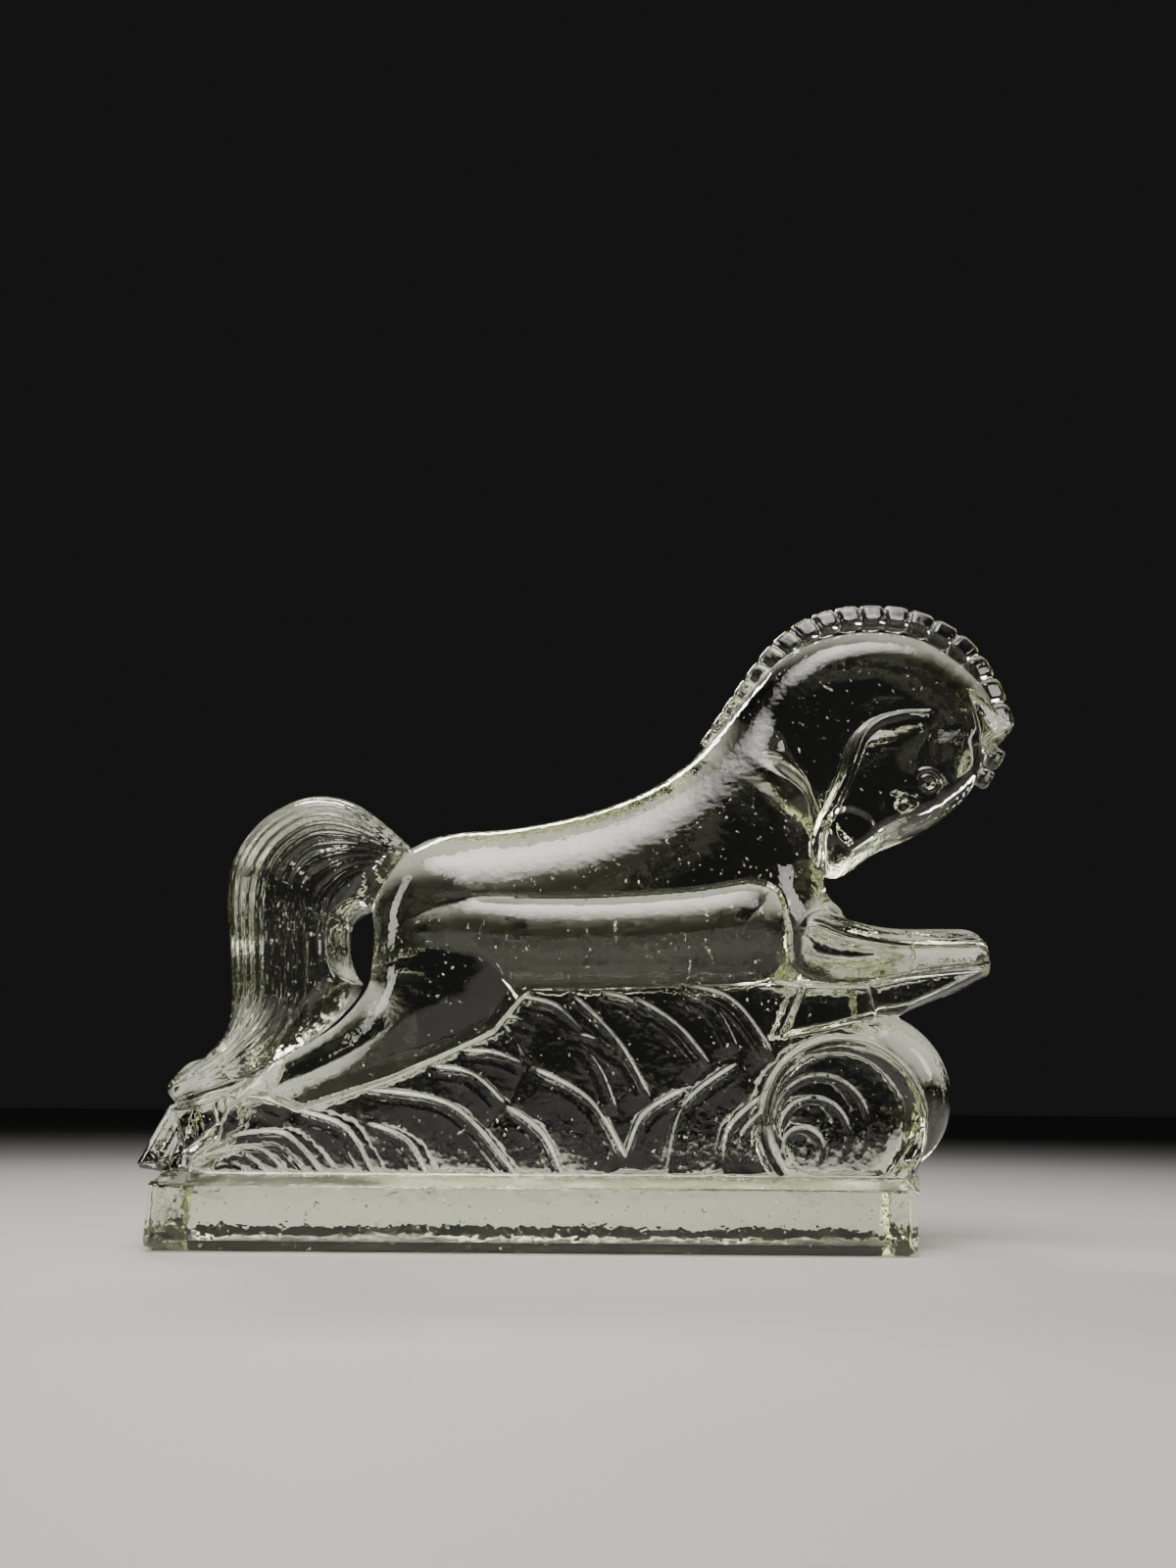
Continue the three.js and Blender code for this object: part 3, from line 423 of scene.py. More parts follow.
def tail(view, strands):
    """A broad arch of strands, finer towards its outer edge."""
    outer, inner = curve(TAIL_OUTER), curve(TAIL_INNER)
    deep = view.depth(np.concatenate((outer, inner[::-1])), 0.4)
    part = view.window(np.concatenate((outer, inner)), view.REACH)
    from_outer = nearest(outer, view.x[part], view.z[part])[0]
    from_last, _, within, _ = nearest(curve(LAST_STRAND), view.x[part], view.z[part])
    from_last = np.where(within, -from_last, from_last)
    across = soften(from_outer / (from_outer + np.maximum(from_last, 0) + TINY), 0.5 / view.step)
    lock = 1 - np.sqrt(0.03 + np.sin(np.pi * strands * across ** TAIL["finer"]) ** 2)
    half = swell(deep, TAIL["half"], TAIL["edge"])
    root = np.hypot(view.x[part] - TAIL["root"][0], view.z[part] - TAIL["root"][1])
    lock *= mix(0.3, 1, ease(*TAIL["smooth_root"], root)) * ease(-0.5, 0.5, from_last)
    half[part] -= TAIL["groove"] * lock * ease(0, 3, deep[part])
    return half


def head_relief(view):
    """Cheek, eye, muzzle and nostril, as a height above the neck."""
    x, z = view.x, view.z
    deep = view.depth(curve(HEAD, closed=True), 0.5)
    jaw, _ = view.line(curve(JAW), CHEEK["hollow_width"])
    inside = deep > 0
    poll = ease(*POLL["across"], x) * ease(*POLL["up"], z)
    cheek = swell(np.maximum(deep, 0), 1, CHEEK["edge"])
    raise_by = CHEEK["rise"] * mix(cheek, ease(0, CHEEK["run_out"], deep), poll)
    lip = CHEEK["lip"] * ridge(np.abs(jaw - CHEEK["lip_at"]), CHEEK["lip_width"])
    hollow = -CHEEK["hollow"] * (1 - ease(0, CHEEK["hollow_width"], jaw))
    raise_by += np.where(inside, lip, hollow) * (1 - poll)
    muzzle = ease(-0.5, 1.2, view.depth(curve(MUZZLE, closed=True)))
    raise_by -= np.where(inside, MUZZLE_STEP * muzzle, 0)
    ex, ez = EYE["centre"]
    eye = np.hypot(x - ex, z - ez)
    upper = ease(-0.5, 0.6, (x - ex + z - ez) / EYE["lid"])
    rim = EYE["rim"] * ridge(np.abs(eye - EYE["radius"]), RIM_WIDTH)
    raise_by += rim - EYE["pit"] * ridge(eye, PIT_WIDTH)
    raise_by += EYE["lid_rise"] * upper * ridge(np.abs(eye - EYE["lid"]), RIM_WIDTH)
    nx, nz = NOSTRIL["centre"]
    nostril = np.hypot(x - nx, z - nz)
    under = ease(-0.2, 0.5, (nz - z) / NOSTRIL["radius"])
    rim = NOSTRIL["rim"] * under * ridge(np.abs(nostril - NOSTRIL["radius"]), RIM_WIDTH)
    raise_by += rim - NOSTRIL["pit"] * ridge(nostril, PIT_WIDTH)
    return raise_by * ((x > HEAD_FROM[0]) & (z > HEAD_FROM[1]))


def body(view, body_half, neck_half):
    """Neck, head and body in one: thick behind the shoulder line, thinner before it."""
    deep = view.depth(curve(TRUNK, closed=True), SOFT)
    away, left = view.line(curve(SHOULDER), 300)
    wide = mix(1, SHOULDER_STEP["fade"], ease(114, 136, view.z))
    beyond = np.where(left, -away, away) / wide
    behind = ease(-SHOULDER_STEP["front"], SHOULDER_STEP["back"], beyond)
    thick = np.maximum(behind, 1 - ease(SHOULDER_STEP["low"], SHOULDER_STEP["high"], view.z))
    across = beyond * wide
    folds = np.sin(THROAT["turn"] * across)
    folds = folds * ease(*THROAT["from"], across) * ease(*THROAT["to"], across)
    up = ease(*THROAT["top"], view.z) * ease(*THROAT["foot"], view.z)
    folds *= up * ease(*THROAT["front"], view.x)
    face = ease(*FACE["across"], view.x) * ease(*FACE["down"], view.z)
    edge = mix(mix(NECK_EDGE, HEAD_EDGE, face), BODY_EDGE, thick)
    half = swell(deep, mix(neck_half, body_half, thick), edge)
    gap, above = view.line(curve(FLANK_LINE), 300)
    lobe = FLANK["bulge"] - FLANK["fall"] * np.maximum(1 - gap / FLANK["reach"], 0) ** 1.6
    lobe *= np.where(above, 0, ease(-60, -40, view.x)) * ease(60, 70, view.z)
    return half + ease(0, 6, deep) * (head_relief(view) + lobe + THROAT["fold"] * folds)


def ear(view, half, edge, groove):
    """The half thickness with a flat three-cornered ear on it and a groove round that."""
    deep = view.depth(EAR_SIDES)
    cx, cz = EAR["centre"]
    plate = EAR["half"] + EAR["lean_right"] * (view.x - cx) + EAR["lean_up"] * (view.z - cz)
    half = half - groove * ridge(np.abs(deep + 0.7), 1.6) * (half > 4)
    raised = plate * swell(np.maximum(deep, 0), 1, edge)
    return np.where(deep > 0, np.maximum(half * (deep < edge), raised), half)


def faces(view, size):
    """Half thickness of the near face and of the far face at every place of the side view."""
    bank = view.depth(BANK)
    leaves = np.where(bank > 0, foliage(view, size.leaf_rim / MM) - LEAF["step"] / 2, 0)
    post = np.minimum(np.minimum(view.x - POST["left"], POST["right"] - view.x),
                      np.minimum(view.z - POST["low"], POST["top"] - view.z))
    along_leg = ease(*ALONG_LEG, view.x)
    along_arm = ease(*ALONG_ARM, view.x)
    forearm = view.depth(curve(FOREARM, closed=True), SOFT)
    forearm = swell(forearm, mix(FOREARM_HALF, KNEE_HALF, along_arm), ROUND["forearm"])
    raised = ARM_RIDGE["rise"] * ridge(view.line(curve(ARM_LINE), 4)[0], ARM_RIDGE["width"])
    forearm += np.where(forearm > ARM_RIDGE["from"], raised, 0)
    hind = view.depth(curve(HIND, closed=True), SOFT)
    pastern = view.depth(curve(FAR_PASTERN, closed=True), 0.5)
    far_hoof, near_hoof = view.depth(FAR_HOOF), view.depth(HIND_HOOF)
    both = plinth(view)
    both = join(both, scroll(view), 0.5)
    both = join(both, swell(post, POST["half"], ROUND["post"]), 0.3)
    both = join(both, tail(view, size.strands))
    both = join(both, body(view, size.body_half / MM, size.neck_half / MM))
    edge = mix(ROUND["thigh"], ROUND["hock"], along_leg)
    both = join(both, swell(hind, mix(THIGH_HALF, HOCK_HALF, along_leg), edge))
    front = (
        (forearm, FILLET),
        (swell(view.depth(SHANK), mix(HOOF_HALF, KNEE_HALF - 1, along_arm), ROUND["shank"]), 0.6),
        (swell(view.depth(HOOF), HOOF_HALF, ROUND["hoof"]), 0.6),
    )
    crest = mane(view, size.beads)
    hole = -view.depth(curve(OPENING, closed=True))
    result = []
    for far in (False, True):
        relief = leaves * (FAR_RELIEF if far else 1)
        half = join(both, swell(bank, BANK_HALF, ROUND["bank"]) + relief, 0.3)
        half = join(half, swell(pastern, HOCK_HALF if far else NEAR_PASTERN, ROUND["pastern"]))
        reach = HIND_HOOF_HALF if far else FAR_HOOF_NEAR
        half = join(half, swell(far_hoof, reach, ROUND["hind_hoof"]), 0.6)
        reach = NEAR_HOOF_FAR if far else HIND_HOOF_HALF
        half = join(half, swell(near_hoof, reach, ROUND["hind_hoof"]), 0.6)
        half = join(half, crest, 0.6)
        eared = ear(view, half, EAR["far_edge"] if far else EAR["edge"], 0 if far else EAR["groove"])
        half = np.where(half > 0, eared, half)
        for height, fillet in front:
            half = join(half, height, fillet)
        least = np.minimum(half, swell(hole, OPENING_HALF, ROUND["opening"]))
        result.append(np.where(hole < 5, least, half))
    return result


# ---------------------------------------------------------------- one closed surface round the glass


class Pressing:
    """The glass as a solid: inside where the square of the height exceeds the square of y."""

    def __init__(self, view, heights):
        self.view = view
        self.squares = [soften(h * np.abs(h), FIRE_POLISH / view.step) for h in heights]
        self.slopes = [np.gradient(s, view.step) for s in self.squares]

    def at(self, points):
        """How far inside the solid points lie, as a difference of squares, and its gradient."""
        x, y, z = points.T
        i = np.clip((x - self.view.xs[0]) / self.view.step, 0, len(self.view.xs) - 1.001)
        k = np.clip((z - self.view.zs[0]) / self.view.step, 0, len(self.view.zs) - 1.001)
        i0, k0 = i.astype(int), k.astype(int)
        fi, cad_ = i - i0, k - k0
        corners = [
            ((i0 + a, k0 + b), (fi if a else 1 - fi) * (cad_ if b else 1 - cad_))
            for b in (0, 1) for a in (0, 1)
        ]
        near = y < 0

        def read(near_field, far_field):
            return sum(
                share * np.where(near, near_field[place], far_field[place]) for place, share in corners
            )

        value = read(*self.squares) - y * y
        along_x, along_z = (read(*sides) for sides in zip(*self.slopes))
        return value, np.stack((along_x, -2 * y, along_z), axis=1)

    def settle(self, points, limit, rounds=3):
        """Moves points the short way onto the surface."""
        for _ in range(rounds):
            value, slope = self.at(points)
            square = np.maximum((slope ** 2).sum(axis=1), TINY)
            step = -(value / square)[:, None] * slope
            length = np.linalg.norm(step, axis=1)
            points = points + step * np.minimum(1, limit / np.maximum(length, 1e-9))[:, None]
        points[:, 2] = np.maximum(points[:, 2], 0)
        return points

    def wrap(self, cell):
        """Points and four-sided faces of a net over the surface, one point in each cell it crosses."""
        rows = math.ceil((PLINTH["deep"] / 2 + NET_MARGIN) / cell)
        ys = (np.arange(-rows, rows) + 0.5) * cell
        xs, zs = self.view.xs[::2], self.view.zs[::2]
        inside = np.empty((len(xs), len(ys), len(zs)), np.float32)
        for j, y in enumerate(ys):
            side = 0 if y < 0 else 1
            sx, sz = (s[::2, ::2] for s in self.slopes[side])
            steep = np.sqrt(sx ** 2 + sz ** 2 + 4 * y * y) + TINY
            value = (self.squares[side][::2, ::2] - y * y) / steep
            inside[:, j] = np.clip(np.minimum(value, zs), -cell, cell)
        solid = inside > 0
        cells, spots, quads = [], [], []
        for axis in range(3):
            low, high = [slice(None)] * 3, [slice(None)] * 3
            low[axis], high[axis] = slice(None, -1), slice(1, None)
            low, high = tuple(low), tuple(high)
            place = np.nonzero(solid[low] != solid[high])
            a, b = inside[low][place], inside[high][place]
            place = np.stack(place, axis=1)
            spot = place.astype(float)
            spot[:, axis] += a / (a - b)
            u, v = (axis + 1) % 3, (axis + 2) % 3
            around = []
            for du, dv in ((0, 0), (1, 0), (1, 1), (0, 1)):
                cell_place = place.copy()
                cell_place[:, u] -= du
                cell_place[:, v] -= dv
                around.append(np.ravel_multi_index(cell_place.T, inside.shape))
            around = np.stack(around, axis=1)
            quads.append(np.where((a > 0)[:, None], around, around[:, ::-1]))
            cells.append(around.ravel())
            spots.append(np.repeat(spot, 4, axis=0))
        cells, spots, quads = (np.concatenate(part) for part in (cells, spots, quads))
        used, number = np.unique(cells, return_inverse=True)
        count = np.bincount(number)
        middle = np.stack([np.bincount(number, weights=spots[:, k]) / count for k in range(3)], axis=1)
        points = np.array((xs[0], ys[0], zs[0])) + middle * cell
        flat = points[:, 2] < cell / 2
        points = self.settle(points, cell / 2)
        points[flat, 2] = 0
        return points, np.searchsorted(used, quads)

    def shading(self, points, triangles):
        """A normal for each corner: the true one, or the face's own where a face is large and flat."""
        _, slope = self.at(points)
        true = -slope / np.maximum(np.linalg.norm(slope, axis=1), 1e-9)[:, None]
        corners = points[triangles]
        sides = corners - np.roll(corners, 1, axis=1)
        own = np.cross(sides[:, 1], sides[:, 2])
        own /= np.maximum(np.linalg.norm(own, axis=1), 1e-9)[:, None]
        longest = np.linalg.norm(sides, axis=2).max(axis=1)
        turn = np.arccos(np.clip(np.einsum("fck,fk->fc", true[triangles], own), -1, 1))
        keep = turn < np.minimum(CURL / longest, WIDEST_TURN)[:, None]
        keep &= ~((own[:, 2] < -0.9) & (corners[:, :, 2].max(axis=1) < TINY))[:, None]
        return np.where(keep[:, :, None], true[triangles], own[:, None, :]).reshape(-1, 3)


def fill(mesh, points, triangles, normals=None):
    """Puts points and triangles into a mesh, with a normal for each corner."""
    mesh.clear_geometry()
    mesh.vertices.add(len(points))
    mesh.vertices.foreach_set("co", np.asarray(points, np.float32).ravel())
    size = triangles.shape[1]
    mesh.loops.add(triangles.size)
    mesh.loops.foreach_set("vertex_index", triangles.astype(np.int32).ravel())
    mesh.polygons.add(len(triangles))
    mesh.polygons.foreach_set("loop_start", np.arange(0, triangles.size, size, dtype=np.int32))
    mesh.update(calc_edges=True)
    mesh.shade_smooth()
    if normals is not None:
        mesh.normals_split_custom_set(normals)


def read_mesh(mesh):
    points = np.empty(len(mesh.vertices) * 3, np.float32)
    corners = np.empty(len(mesh.loops), np.int32)
    mesh.vertices.foreach_get("co", points)
    mesh.loops.foreach_get("vertex_index", corners)
    return points.reshape(-1, 3).astype(float), corners.reshape(-1, 3)


def thin_out(mesh, share):
    """The mesh with only a share of its triangles, kept where the shape needs them."""
    scrap = bpy.data.objects.new("thinning", mesh)
    bpy.context.collection.objects.link(scrap)
    scrap.modifiers.new("triangles", "TRIANGULATE")
    thinner = scrap.modifiers.new("thinner", "DECIMATE")
    thinner.ratio = share
    thinner.use_collapse_triangulate = True
    depsgraph = bpy.context.evaluated_depsgraph_get()
    thin = bpy.data.meshes.new_from_object(scrap.evaluated_get(depsgraph))
    bpy.data.objects.remove(scrap)
    bpy.data.meshes.remove(mesh)
    return thin


# ---------------------------------------------------------------- materials

# Scales are counts a metre, heights are shares of the height that a material gives
GLASS_RIPPLES = {"Wave scale": 70.0, "Wave height": 1.0, "Wrinkle scale": 480.0, "Wrinkle height": 0.3}
FLOOR_RIPPLES = {"Wave scale": 8.0, "Wave height": 0.2, "Wrinkle scale": 160.0, "Wrinkle height": 1.0}
FLOOR_GRAIN = 0.0001
WORN_HEIGHT = 0.0008  # how far up the foot is scuffed, in metres


def socket(group, name, kind, default=None, side="INPUT"):
    made = group.interface.new_socket(name=name, in_out=side, socket_type=kind)
    if default is not None:
        made.default_value = default
    return made


def ripple_group():
    """Slow waves and fine wrinkles of a surface, as one height."""
    group = bpy.data.node_groups.get("Surface ripples")
    if group:
        return group
    group = bpy.data.node_groups.new("Surface ripples", "ShaderNodeTree")
    for name, value in GLASS_RIPPLES.items():
        socket(group, name, "NodeSocketFloat", value)
    socket(group, "Height", "NodeSocketFloat", side="OUTPUT")
    nodes, links = group.nodes, group.links
    given = nodes.new("NodeGroupInput")
    out = nodes.new("NodeGroupOutput")
    place = nodes.new("ShaderNodeTexCoord")
    total = nodes.new("ShaderNodeMath")
    total.operation = "ADD"
    for slot_number, kind in enumerate(("Wave", "Wrinkle")):
        noise = nodes.new("ShaderNodeTexNoise")
        noise.inputs["Detail"].default_value = 1.0
        links.new(place.outputs["Object"], noise.inputs["Vector"])
        links.new(given.outputs[f"{kind} scale"], noise.inputs["Scale"])
        height = nodes.new("ShaderNodeMath")
        height.operation = "MULTIPLY"
        links.new(noise.outputs["Fac"], height.inputs[0])
        links.new(given.outputs[f"{kind} height"], height.inputs[1])
        links.new(height.outputs[0], total.inputs[slot_number])
    links.new(total.outputs[0], out.inputs["Height"])
    return group


def add_ripples(material, values, distance):
    """Places the ripples in a material and bends its normals by them."""
    nodes, links = material.node_tree.nodes, material.node_tree.links
    ripples = nodes.new("ShaderNodeGroup")
    ripples.node_tree = ripple_group()
    for name, value in values.items():
        ripples.inputs[name].default_value = value
    bump = nodes.new("ShaderNodeBump")
    bump.inputs["Strength"].default_value = 1.0
    bump.inputs["Distance"].default_value = distance
    links.new(ripples.outputs["Height"], bump.inputs["Height"])
    links.new(bump.outputs["Normal"], nodes["Principled BSDF"].inputs["Normal"])
    return ripples


def clear_glass(glass):
    """Water-clear pressed glass, faintly yellow-green where it is thick, scuffed on its foot."""
    material = bpy.data.materials.new("Clear pressed glass")
    material.use_nodes = True
    nodes, links = material.node_tree.nodes, material.node_tree.links
    shader = nodes["Principled BSDF"]
    shader.inputs["IOR"].default_value = glass.ior
    shader.inputs["Transmission Weight"].default_value = 1.0
    shader.inputs["Metallic"].default_value = 0.0
    add_ripples(material, GLASS_RIPPLES, glass.waves)
    place = nodes.new("ShaderNodeTexCoord")
    cloud = nodes.new("ShaderNodeTexNoise")
    cloud.inputs["Scale"].default_value = 30.0
    links.new(place.outputs["Object"], cloud.inputs["Vector"])
    tint = nodes.new("ShaderNodeMix")
    tint.data_type = "RGBA"
    tint.inputs["A"].default_value = (1.0, 1.0, 0.992, 1)
    tint.inputs["B"].default_value = (0.992, 1.0, 0.985, 1)
    links.new(cloud.outputs["Fac"], tint.inputs["Factor"])
    links.new(tint.outputs["Result"], shader.inputs["Base Color"])
    height = nodes.new("ShaderNodeSeparateXYZ")
    links.new(place.outputs["Object"], height.inputs["Vector"])
    foot = nodes.new("ShaderNodeMapRange")
    foot.inputs["From Min"].default_value = WORN_HEIGHT
    foot.inputs["From Max"].default_value = 0.0
    foot.inputs["To Min"].default_value = glass.roughness
    foot.inputs["To Max"].default_value = glass.foot_roughness
    links.new(height.outputs["Z"], foot.inputs["Value"])
    links.new(foot.outputs["Result"], shader.inputs["Roughness"])
    tinted = nodes.new("ShaderNodeVolumeAbsorption")
    tinted.inputs["Color"].default_value = (*glass.tint, 1)
    tinted.inputs["Density"].default_value = glass.tint_density
    links.new(tinted.outputs["Volume"], nodes["Material Output"].inputs["Volume"])
    return material


def floor_material(stage):
    material = bpy.data.materials.new("Pale floor")
    material.use_nodes = True
    shader = material.node_tree.nodes["Principled BSDF"]
    shader.inputs["Base Color"].default_value = (*stage.floor_colour, 1)
    shader.inputs["Roughness"].default_value = 0.6
    add_ripples(material, FLOOR_RIPPLES, FLOOR_GRAIN)
    return material


# ---------------------------------------------------------------- settings


class HorseSettings(bpy.types.PropertyGroup):
    """Sizes of the glass."""

    body_half: FloatProperty(name="Half body", description="Half the thickness of the barrel",
                             default=0.023, min=0.01, max=0.03, unit="LENGTH", subtype="DISTANCE")
    neck_half: FloatProperty(name="Half neck", description="Half the thickness of the neck",
                             default=0.0165, min=0.008, max=0.025, unit="LENGTH", subtype="DISTANCE")
    strands: IntProperty(name="Strands", description="Locks across the tail",
                         default=12, min=4, max=20)
    beads: IntProperty(name="Mane beads", description="Beads round the crest",
                       default=18, min=8, max=30)
    leaf_rim: FloatProperty(name="Leaf rim", description="How far a leaf's rim stands up",
                            default=0.0002, min=0, max=0.002, unit="LENGTH", subtype="DISTANCE")
    cell: FloatProperty(name="Cell", description="Size of the net laid over the glass",
                        default=0.0005, min=0.0004, max=0.003, unit="LENGTH", subtype="DISTANCE")
    triangles: IntProperty(name="Triangles", description="Most triangles kept",
                           default=180000, min=5000, max=199000)


class GlassSettings(bpy.types.PropertyGroup):
    """The glass itself."""

    tint: FloatVectorProperty(name="Tint", description="Colour that thick glass lets through",
                              default=(0.84, 0.90, 0.44), size=3, min=0, max=1, subtype="COLOR")
    tint_density: FloatProperty(name="Tint density", default=7.0, min=0, max=50,
                                description="How quickly the tint builds up, per metre")
    ior: FloatProperty(name="Refractive index", description="How strongly the glass bends light",
                       default=1.52, min=1, max=2)
    roughness: FloatProperty(name="Roughness", description="Dullness of the fire-polished surface",
                             default=0.0, min=0, max=0.3, subtype="FACTOR")
    foot_roughness: FloatProperty(name="Foot roughness", description="Dullness of the worn underside",
                                  default=0.25, min=0, max=1, subtype="FACTOR")
    waves: FloatProperty(name="Waves", description="Height of the slow waves in the surface",
                         default=0.0004, min=0, max=0.002, unit="LENGTH", subtype="DISTANCE")


class SeedSettings(bpy.types.PropertyGroup):
    """Seeds and bubbles sealed in the glass."""

    count: IntProperty(name="Seeds", description="How many small seeds",
                       default=1500, min=0, max=2000)
    smallest: FloatProperty(name="Smallest", description="Smallest seed's radius",
                            default=0.00014, min=0.00003, max=0.001, unit="LENGTH", subtype="DISTANCE")
    largest: FloatProperty(name="Largest", description="Largest seed's radius",
                           default=0.00042, min=0.0001, max=0.002, unit="LENGTH", subtype="DISTANCE")
    scatter: IntProperty(name="Scatter", description="Starting number of the random places",
                         default=7, min=0)


class StageSettings(bpy.types.PropertyGroup):
    """Floor, lights and camera."""

    floor_colour: FloatVectorProperty(name="Floor colour", description="Colour of the floor",
                                      default=(0.40, 0.40, 0.39), size=3, min=0, max=1, subtype="COLOR")
    floor_size: FloatProperty(name="Floor size", description="Length of the floor's side",
                              default=6.0, min=0.5, max=20, unit="LENGTH", subtype="DISTANCE")
    surroundings: FloatProperty(name="Surroundings", description="Light from all round",
                                default=0.01, min=0, max=5)
    light_colour: FloatVectorProperty(name="Light colour", description="Colour of the soft lights",
                                      default=(1, 0.97, 0.91), size=3, min=0, max=1, subtype="COLOR")
    spread: FloatProperty(name="Spread", description="How far round each soft light shines, in degrees",
                          default=62.0, min=10, max=180)
    light: FloatProperty(name="Light", description="Scale of all the soft lights' power",
                         default=1.0, min=0, max=10)


# ---------------------------------------------------------------- operators


class STATUE_OT_horse(bpy.types.Operator):
    """Presses the horse, leaves, scroll and plinth as one piece of clear glass"""

    bl_idname = "statue.horse"
    bl_label = "Glass horse"

    def execute(self, context):
        size = context.scene.horse_settings
        cell = 1 * size.cell / MM
        view = SideView(cell)
        pressing = Pressing(view, faces(view, size))
        points, quads = pressing.wrap(cell)
        mesh = bpy.data.meshes.new("net")
        fill(mesh, points, quads)
        mesh = thin_out(mesh, min(1, size.triangles / (2 * len(quads))))
        points, triangles = read_mesh(mesh)
        foot = points[:, 2] < TINY
        points = pressing.settle(points, cell / 4, rounds=1)
        points[foot, 2] = 0
        normals = pressing.shading(points, triangles)
        low, high = (np.array(corner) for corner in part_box(NODE))
        shift = (low + high) / 2 - (points.min(axis=0) + points.max(axis=0)) / 2 * MM
        shift[2] = low[2]
        fill(mesh, points * MM + shift, triangles, normals)
        mesh.name = "pressed_glass_horse"
        mesh.materials.clear()
        mesh.materials.append(clear_glass(context.scene.glass_settings))
        horse = bpy.data.objects.new("pressed_glass_horse", mesh)
        context.collection.objects.link(horse)
        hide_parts(NODE)
        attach(horse, "root")
        return {"FINISHED"}


class STATUE_OT_seeds(bpy.types.Operator):
    """Leaves seeds and bubbles as hollows inside the glass"""

    bl_idname = "statue.seeds"
    bl_label = "Seeds and bubbles"

    def execute(self, context):
        horse = bpy.data.objects.get("pressed_glass_horse")
        if horse is None:
            raise RuntimeError("press the horse before its seeds")
        seeds = context.scene.seed_settings
        chance = np.random.default_rng(seeds.scatter)
        low, high = (np.array(corner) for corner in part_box(NODE))
        context.view_layer.update()
        middle_x = (low[0] + high[0]) / 2 + EYE_PLACE[0]
        hollows = []
        for (x, z), behind, (long, thick), lean in BUBBLES:
            centre = np.array((middle_x + x * MM, behind * MM, z * MM))
            hollows.append((centre, np.array((long, thick, thick)) * MM, math.radians(lean), 3))
        while len(hollows) < seeds.count + len(BUBBLES):
            spot = chance.uniform(low, high)
            radius = mix(seeds.smallest, seeds.largest, chance.random() ** 2)
            stretch = chance.uniform(1, 1.8)
            radii = np.array((radius * stretch, radius, radius))
            lean = chance.uniform(0, math.pi)
            if self.sealed(horse, spot, 3 * radius):
                hollows.append((spot, radii, lean, 0))
        points, triangles = read_mesh(horse.data)
        normals = np.empty(len(horse.data.loops) * 3, np.float32)
        horse.data.corner_normals.foreach_get("vector", normals)
        every = [(points, triangles, normals.reshape(-1, 3))]
        first = len(points)
        for centre, radii, lean, fineness in hollows:
            ball, sides = self.ball(fineness)
            turn = np.array(Matrix.Rotation(lean, 3, "Y"))
            hollow = (ball * radii) @ turn.T + centre
            outward = (ball / radii) @ turn.T
            outward /= np.linalg.norm(outward, axis=1)[:, None]
            every.append((hollow, sides[:, ::-1] + first, -outward[sides[:, ::-1].ravel()]))
            first += len(hollow)
        points, triangles, normals = (np.concatenate([piece[k] for piece in every]) for k in range(3))
        fill(horse.data, points, triangles, normals)
        return {"FINISHED"}

    @staticmethod
    def sealed(horse, spot, margin):
        """Whether a spot lies in the glass with some glass all round it."""
        for way in ((0, -1, 0), (0, 1, 0), (1, 0, 0), (-1, 0, 0), (0, 0, 1), (0, 0, -1)):
            hit, place, normal, _ = horse.ray_cast(Vector(spot), Vector(way))
            if not hit or normal.dot(Vector(way)) < 0 or (place - Vector(spot)).length < margin:
                return False
        return True

    @staticmethod
    def ball(rings):
        """A ball of radius 1: points and triangles."""
        rounds, turns = rings + 2, 2 * rings + 4
        points = [(0, 0, 1)]
        for i in range(1, rounds):
            lift = math.pi * i / rounds
            out = math.sin(lift)
            for k in range(turns):
                turn = 2 * math.pi * k / turns
                points.append((out * math.cos(turn), out * math.sin(turn), math.cos(lift)))
        points.append((0, 0, -1))
        sides = []
        last = len(points) - 1
        for k in range(turns):
            after = (k + 1) % turns
            sides.append((0, 1 + k, 1 + after))
            sides.append((last, last - turns + after, last - turns + k))
            for i in range(rounds - 2):
                a, b = 1 + i * turns + k, 1 + i * turns + after
                sides += [(a, a + turns, b + turns), (a, b + turns, b)]
        return np.array(points), np.array(sides)


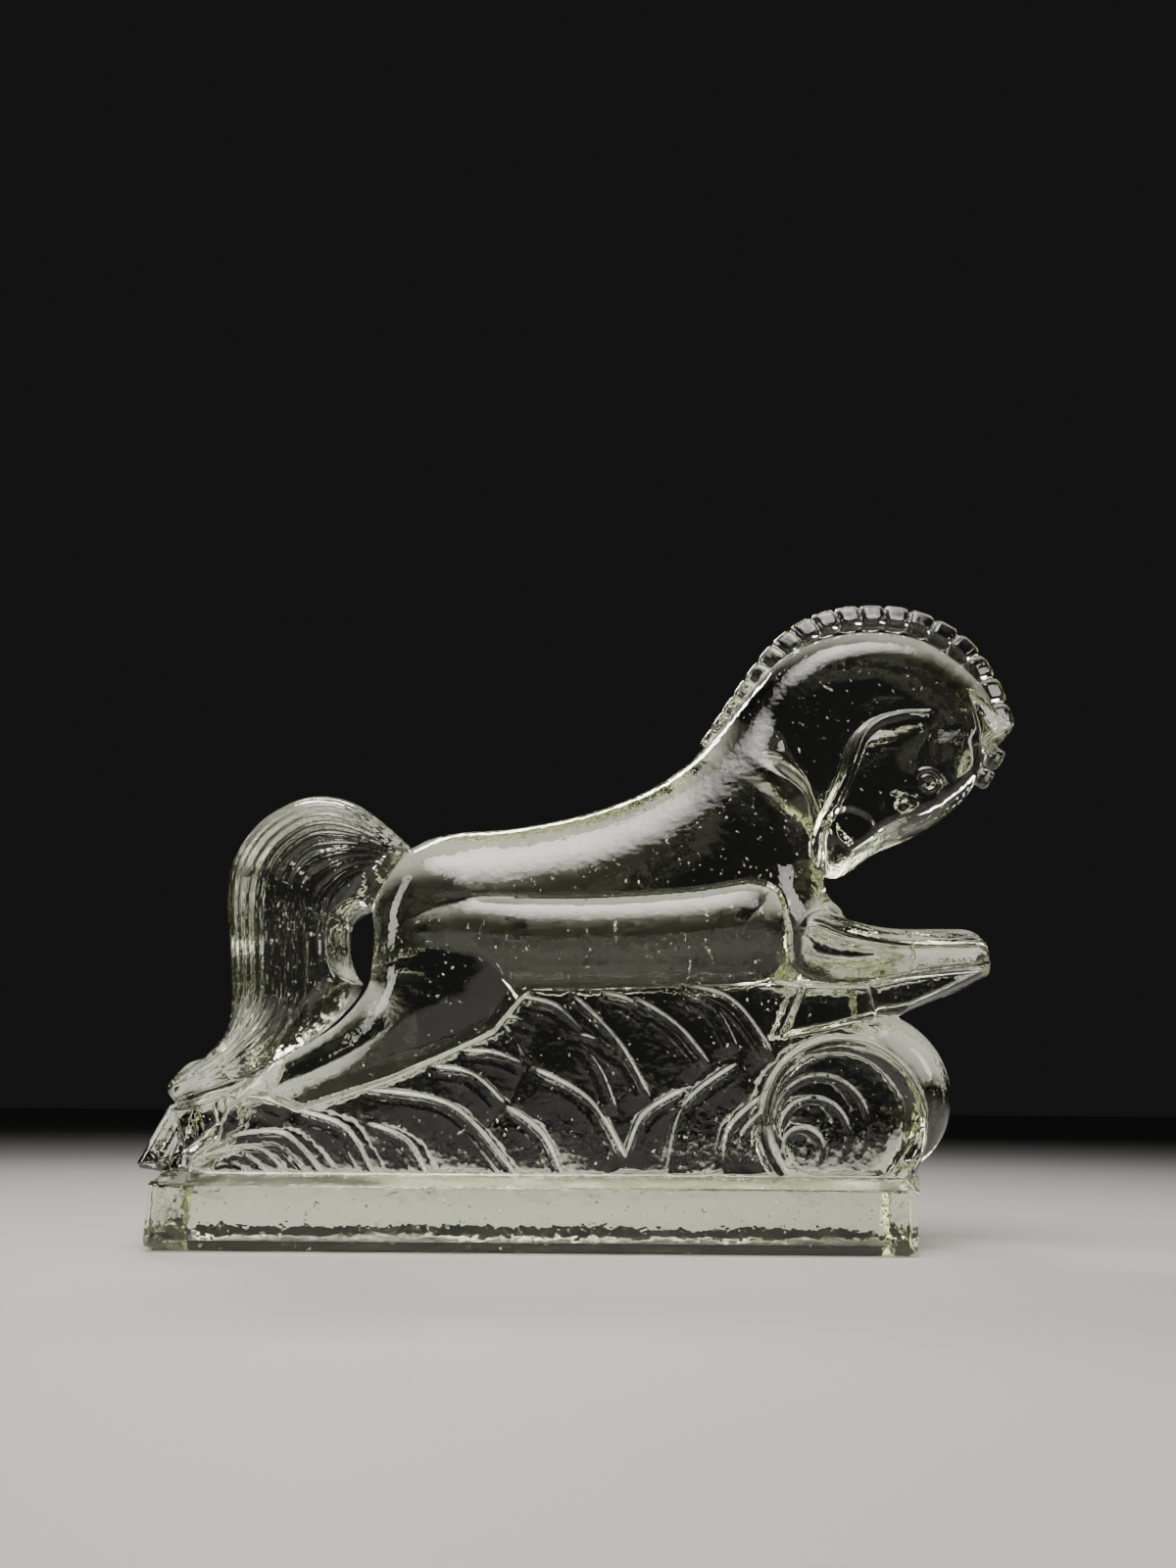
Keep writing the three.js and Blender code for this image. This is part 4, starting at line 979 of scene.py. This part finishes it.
class STATUE_OT_stage(bpy.types.Operator):
    """Lays a pale floor, sets soft lights round it and places the camera"""

    bl_idname = "statue.stage"
    bl_label = "Stage"

    # Name, place, target, width and height in metres, power in watts
    LIGHTS = (
        ("overhead", (-0.05, -0.40, 0.96), (0, -0.12, 0), 1.10, 0.80, 5.1),
        ("high_back", (-0.25, 0.70, 0.80), (0, 0, 0.08), 0.50, 0.12, 0.8),
        ("left_strip", (-0.85, -0.10, 0.34), (0, 0, 0.08), 0.28, 0.50, 0.4),
        ("right_strip", (0.78, -0.40, 0.42), (0, 0, 0.10), 0.24, 0.40, 0.3),
    )

    def execute(self, context):
        stage = context.scene.stage_settings
        half = stage.floor_size / 2
        mesh = bpy.data.meshes.new("floor")
        corners = [(-half, -half, 0), (half, -half, 0), (half, half, 0), (-half, half, 0)]
        mesh.from_pydata(corners, [], [(0, 1, 2, 3)])
        mesh.materials.append(floor_material(stage))
        floor = bpy.data.objects.new("floor", mesh)
        floor.location.z = -0.0003
        context.collection.objects.link(floor)
        for name, place, target, wide, tall, power in self.LIGHTS:
            lamp = bpy.data.lights.new(name, "AREA")
            lamp.shape = "RECTANGLE"
            lamp.size, lamp.size_y = wide, tall
            lamp.energy = power * stage.light
            lamp.color = stage.light_colour
            lamp.spread = math.radians(stage.spread)
            made = bpy.data.objects.new(name, lamp)
            made.location = place
            made.rotation_euler = (Vector(target) - Vector(place)).to_track_quat("-Z", "Y").to_euler()
            context.collection.objects.link(made)
        world = bpy.data.worlds.new("dim_room")
        world.use_nodes = True
        world.node_tree.nodes["Background"].inputs["Color"].default_value = (1, 1, 1, 1)
        world.node_tree.nodes["Background"].inputs["Strength"].default_value = stage.surroundings
        context.scene.world = world
        lens = bpy.data.cameras.new("camera")
        lens.sensor_width = SENSOR
        lens.lens = SENSOR * PHOTO["focal"] / PHOTO["long_side"]
        camera = bpy.data.objects.new("camera", lens)
        tilt = math.pi / 2 + math.atan2(PHOTO["rise"], PHOTO["focal"])
        camera.matrix_world = (
            Matrix.Translation(EYE_PLACE)
            @ Matrix.Rotation(tilt, 4, "X")
            @ Matrix.Rotation(math.radians(PHOTO["roll"]), 4, "Z")
        )
        context.collection.objects.link(camera)
        context.scene.camera = camera
        return {"FINISHED"}


class STATUE_PT_panel(bpy.types.Panel):
    """Lists the settings and the steps that make the statue"""

    bl_label = "Glass horse"
    bl_idname = "STATUE_PT_panel"
    bl_space_type = "VIEW_3D"
    bl_region_type = "UI"
    bl_category = "Glass horse"

    def draw(self, context):
        for settings, group in SETTINGS.items():
            box = self.layout.box()
            for name in group.__annotations__:
                box.prop(getattr(context.scene, settings), name)
        for operator in (STATUE_OT_stage, STATUE_OT_horse, STATUE_OT_seeds):
            self.layout.operator(operator.bl_idname)


SETTINGS = {
    "horse_settings": HorseSettings,
    "glass_settings": GlassSettings,
    "seed_settings": SeedSettings,
    "stage_settings": StageSettings,
}
CLASSES = (*SETTINGS.values(), STATUE_OT_stage, STATUE_OT_horse, STATUE_OT_seeds, STATUE_PT_panel)


def register():
    for made in CLASSES:
        bpy.utils.register_class(made)
    for name, group in SETTINGS.items():
        setattr(bpy.types.Scene, name, PointerProperty(type=group))


def unregister():
    for name in SETTINGS:
        delattr(bpy.types.Scene, name)
    for made in reversed(CLASSES):
        bpy.utils.unregister_class(made)


def main():
    register()
    bpy.ops.statue.stage()
    bpy.ops.statue.horse()
    bpy.ops.statue.seeds()


if __name__ == "__main__":
    main()
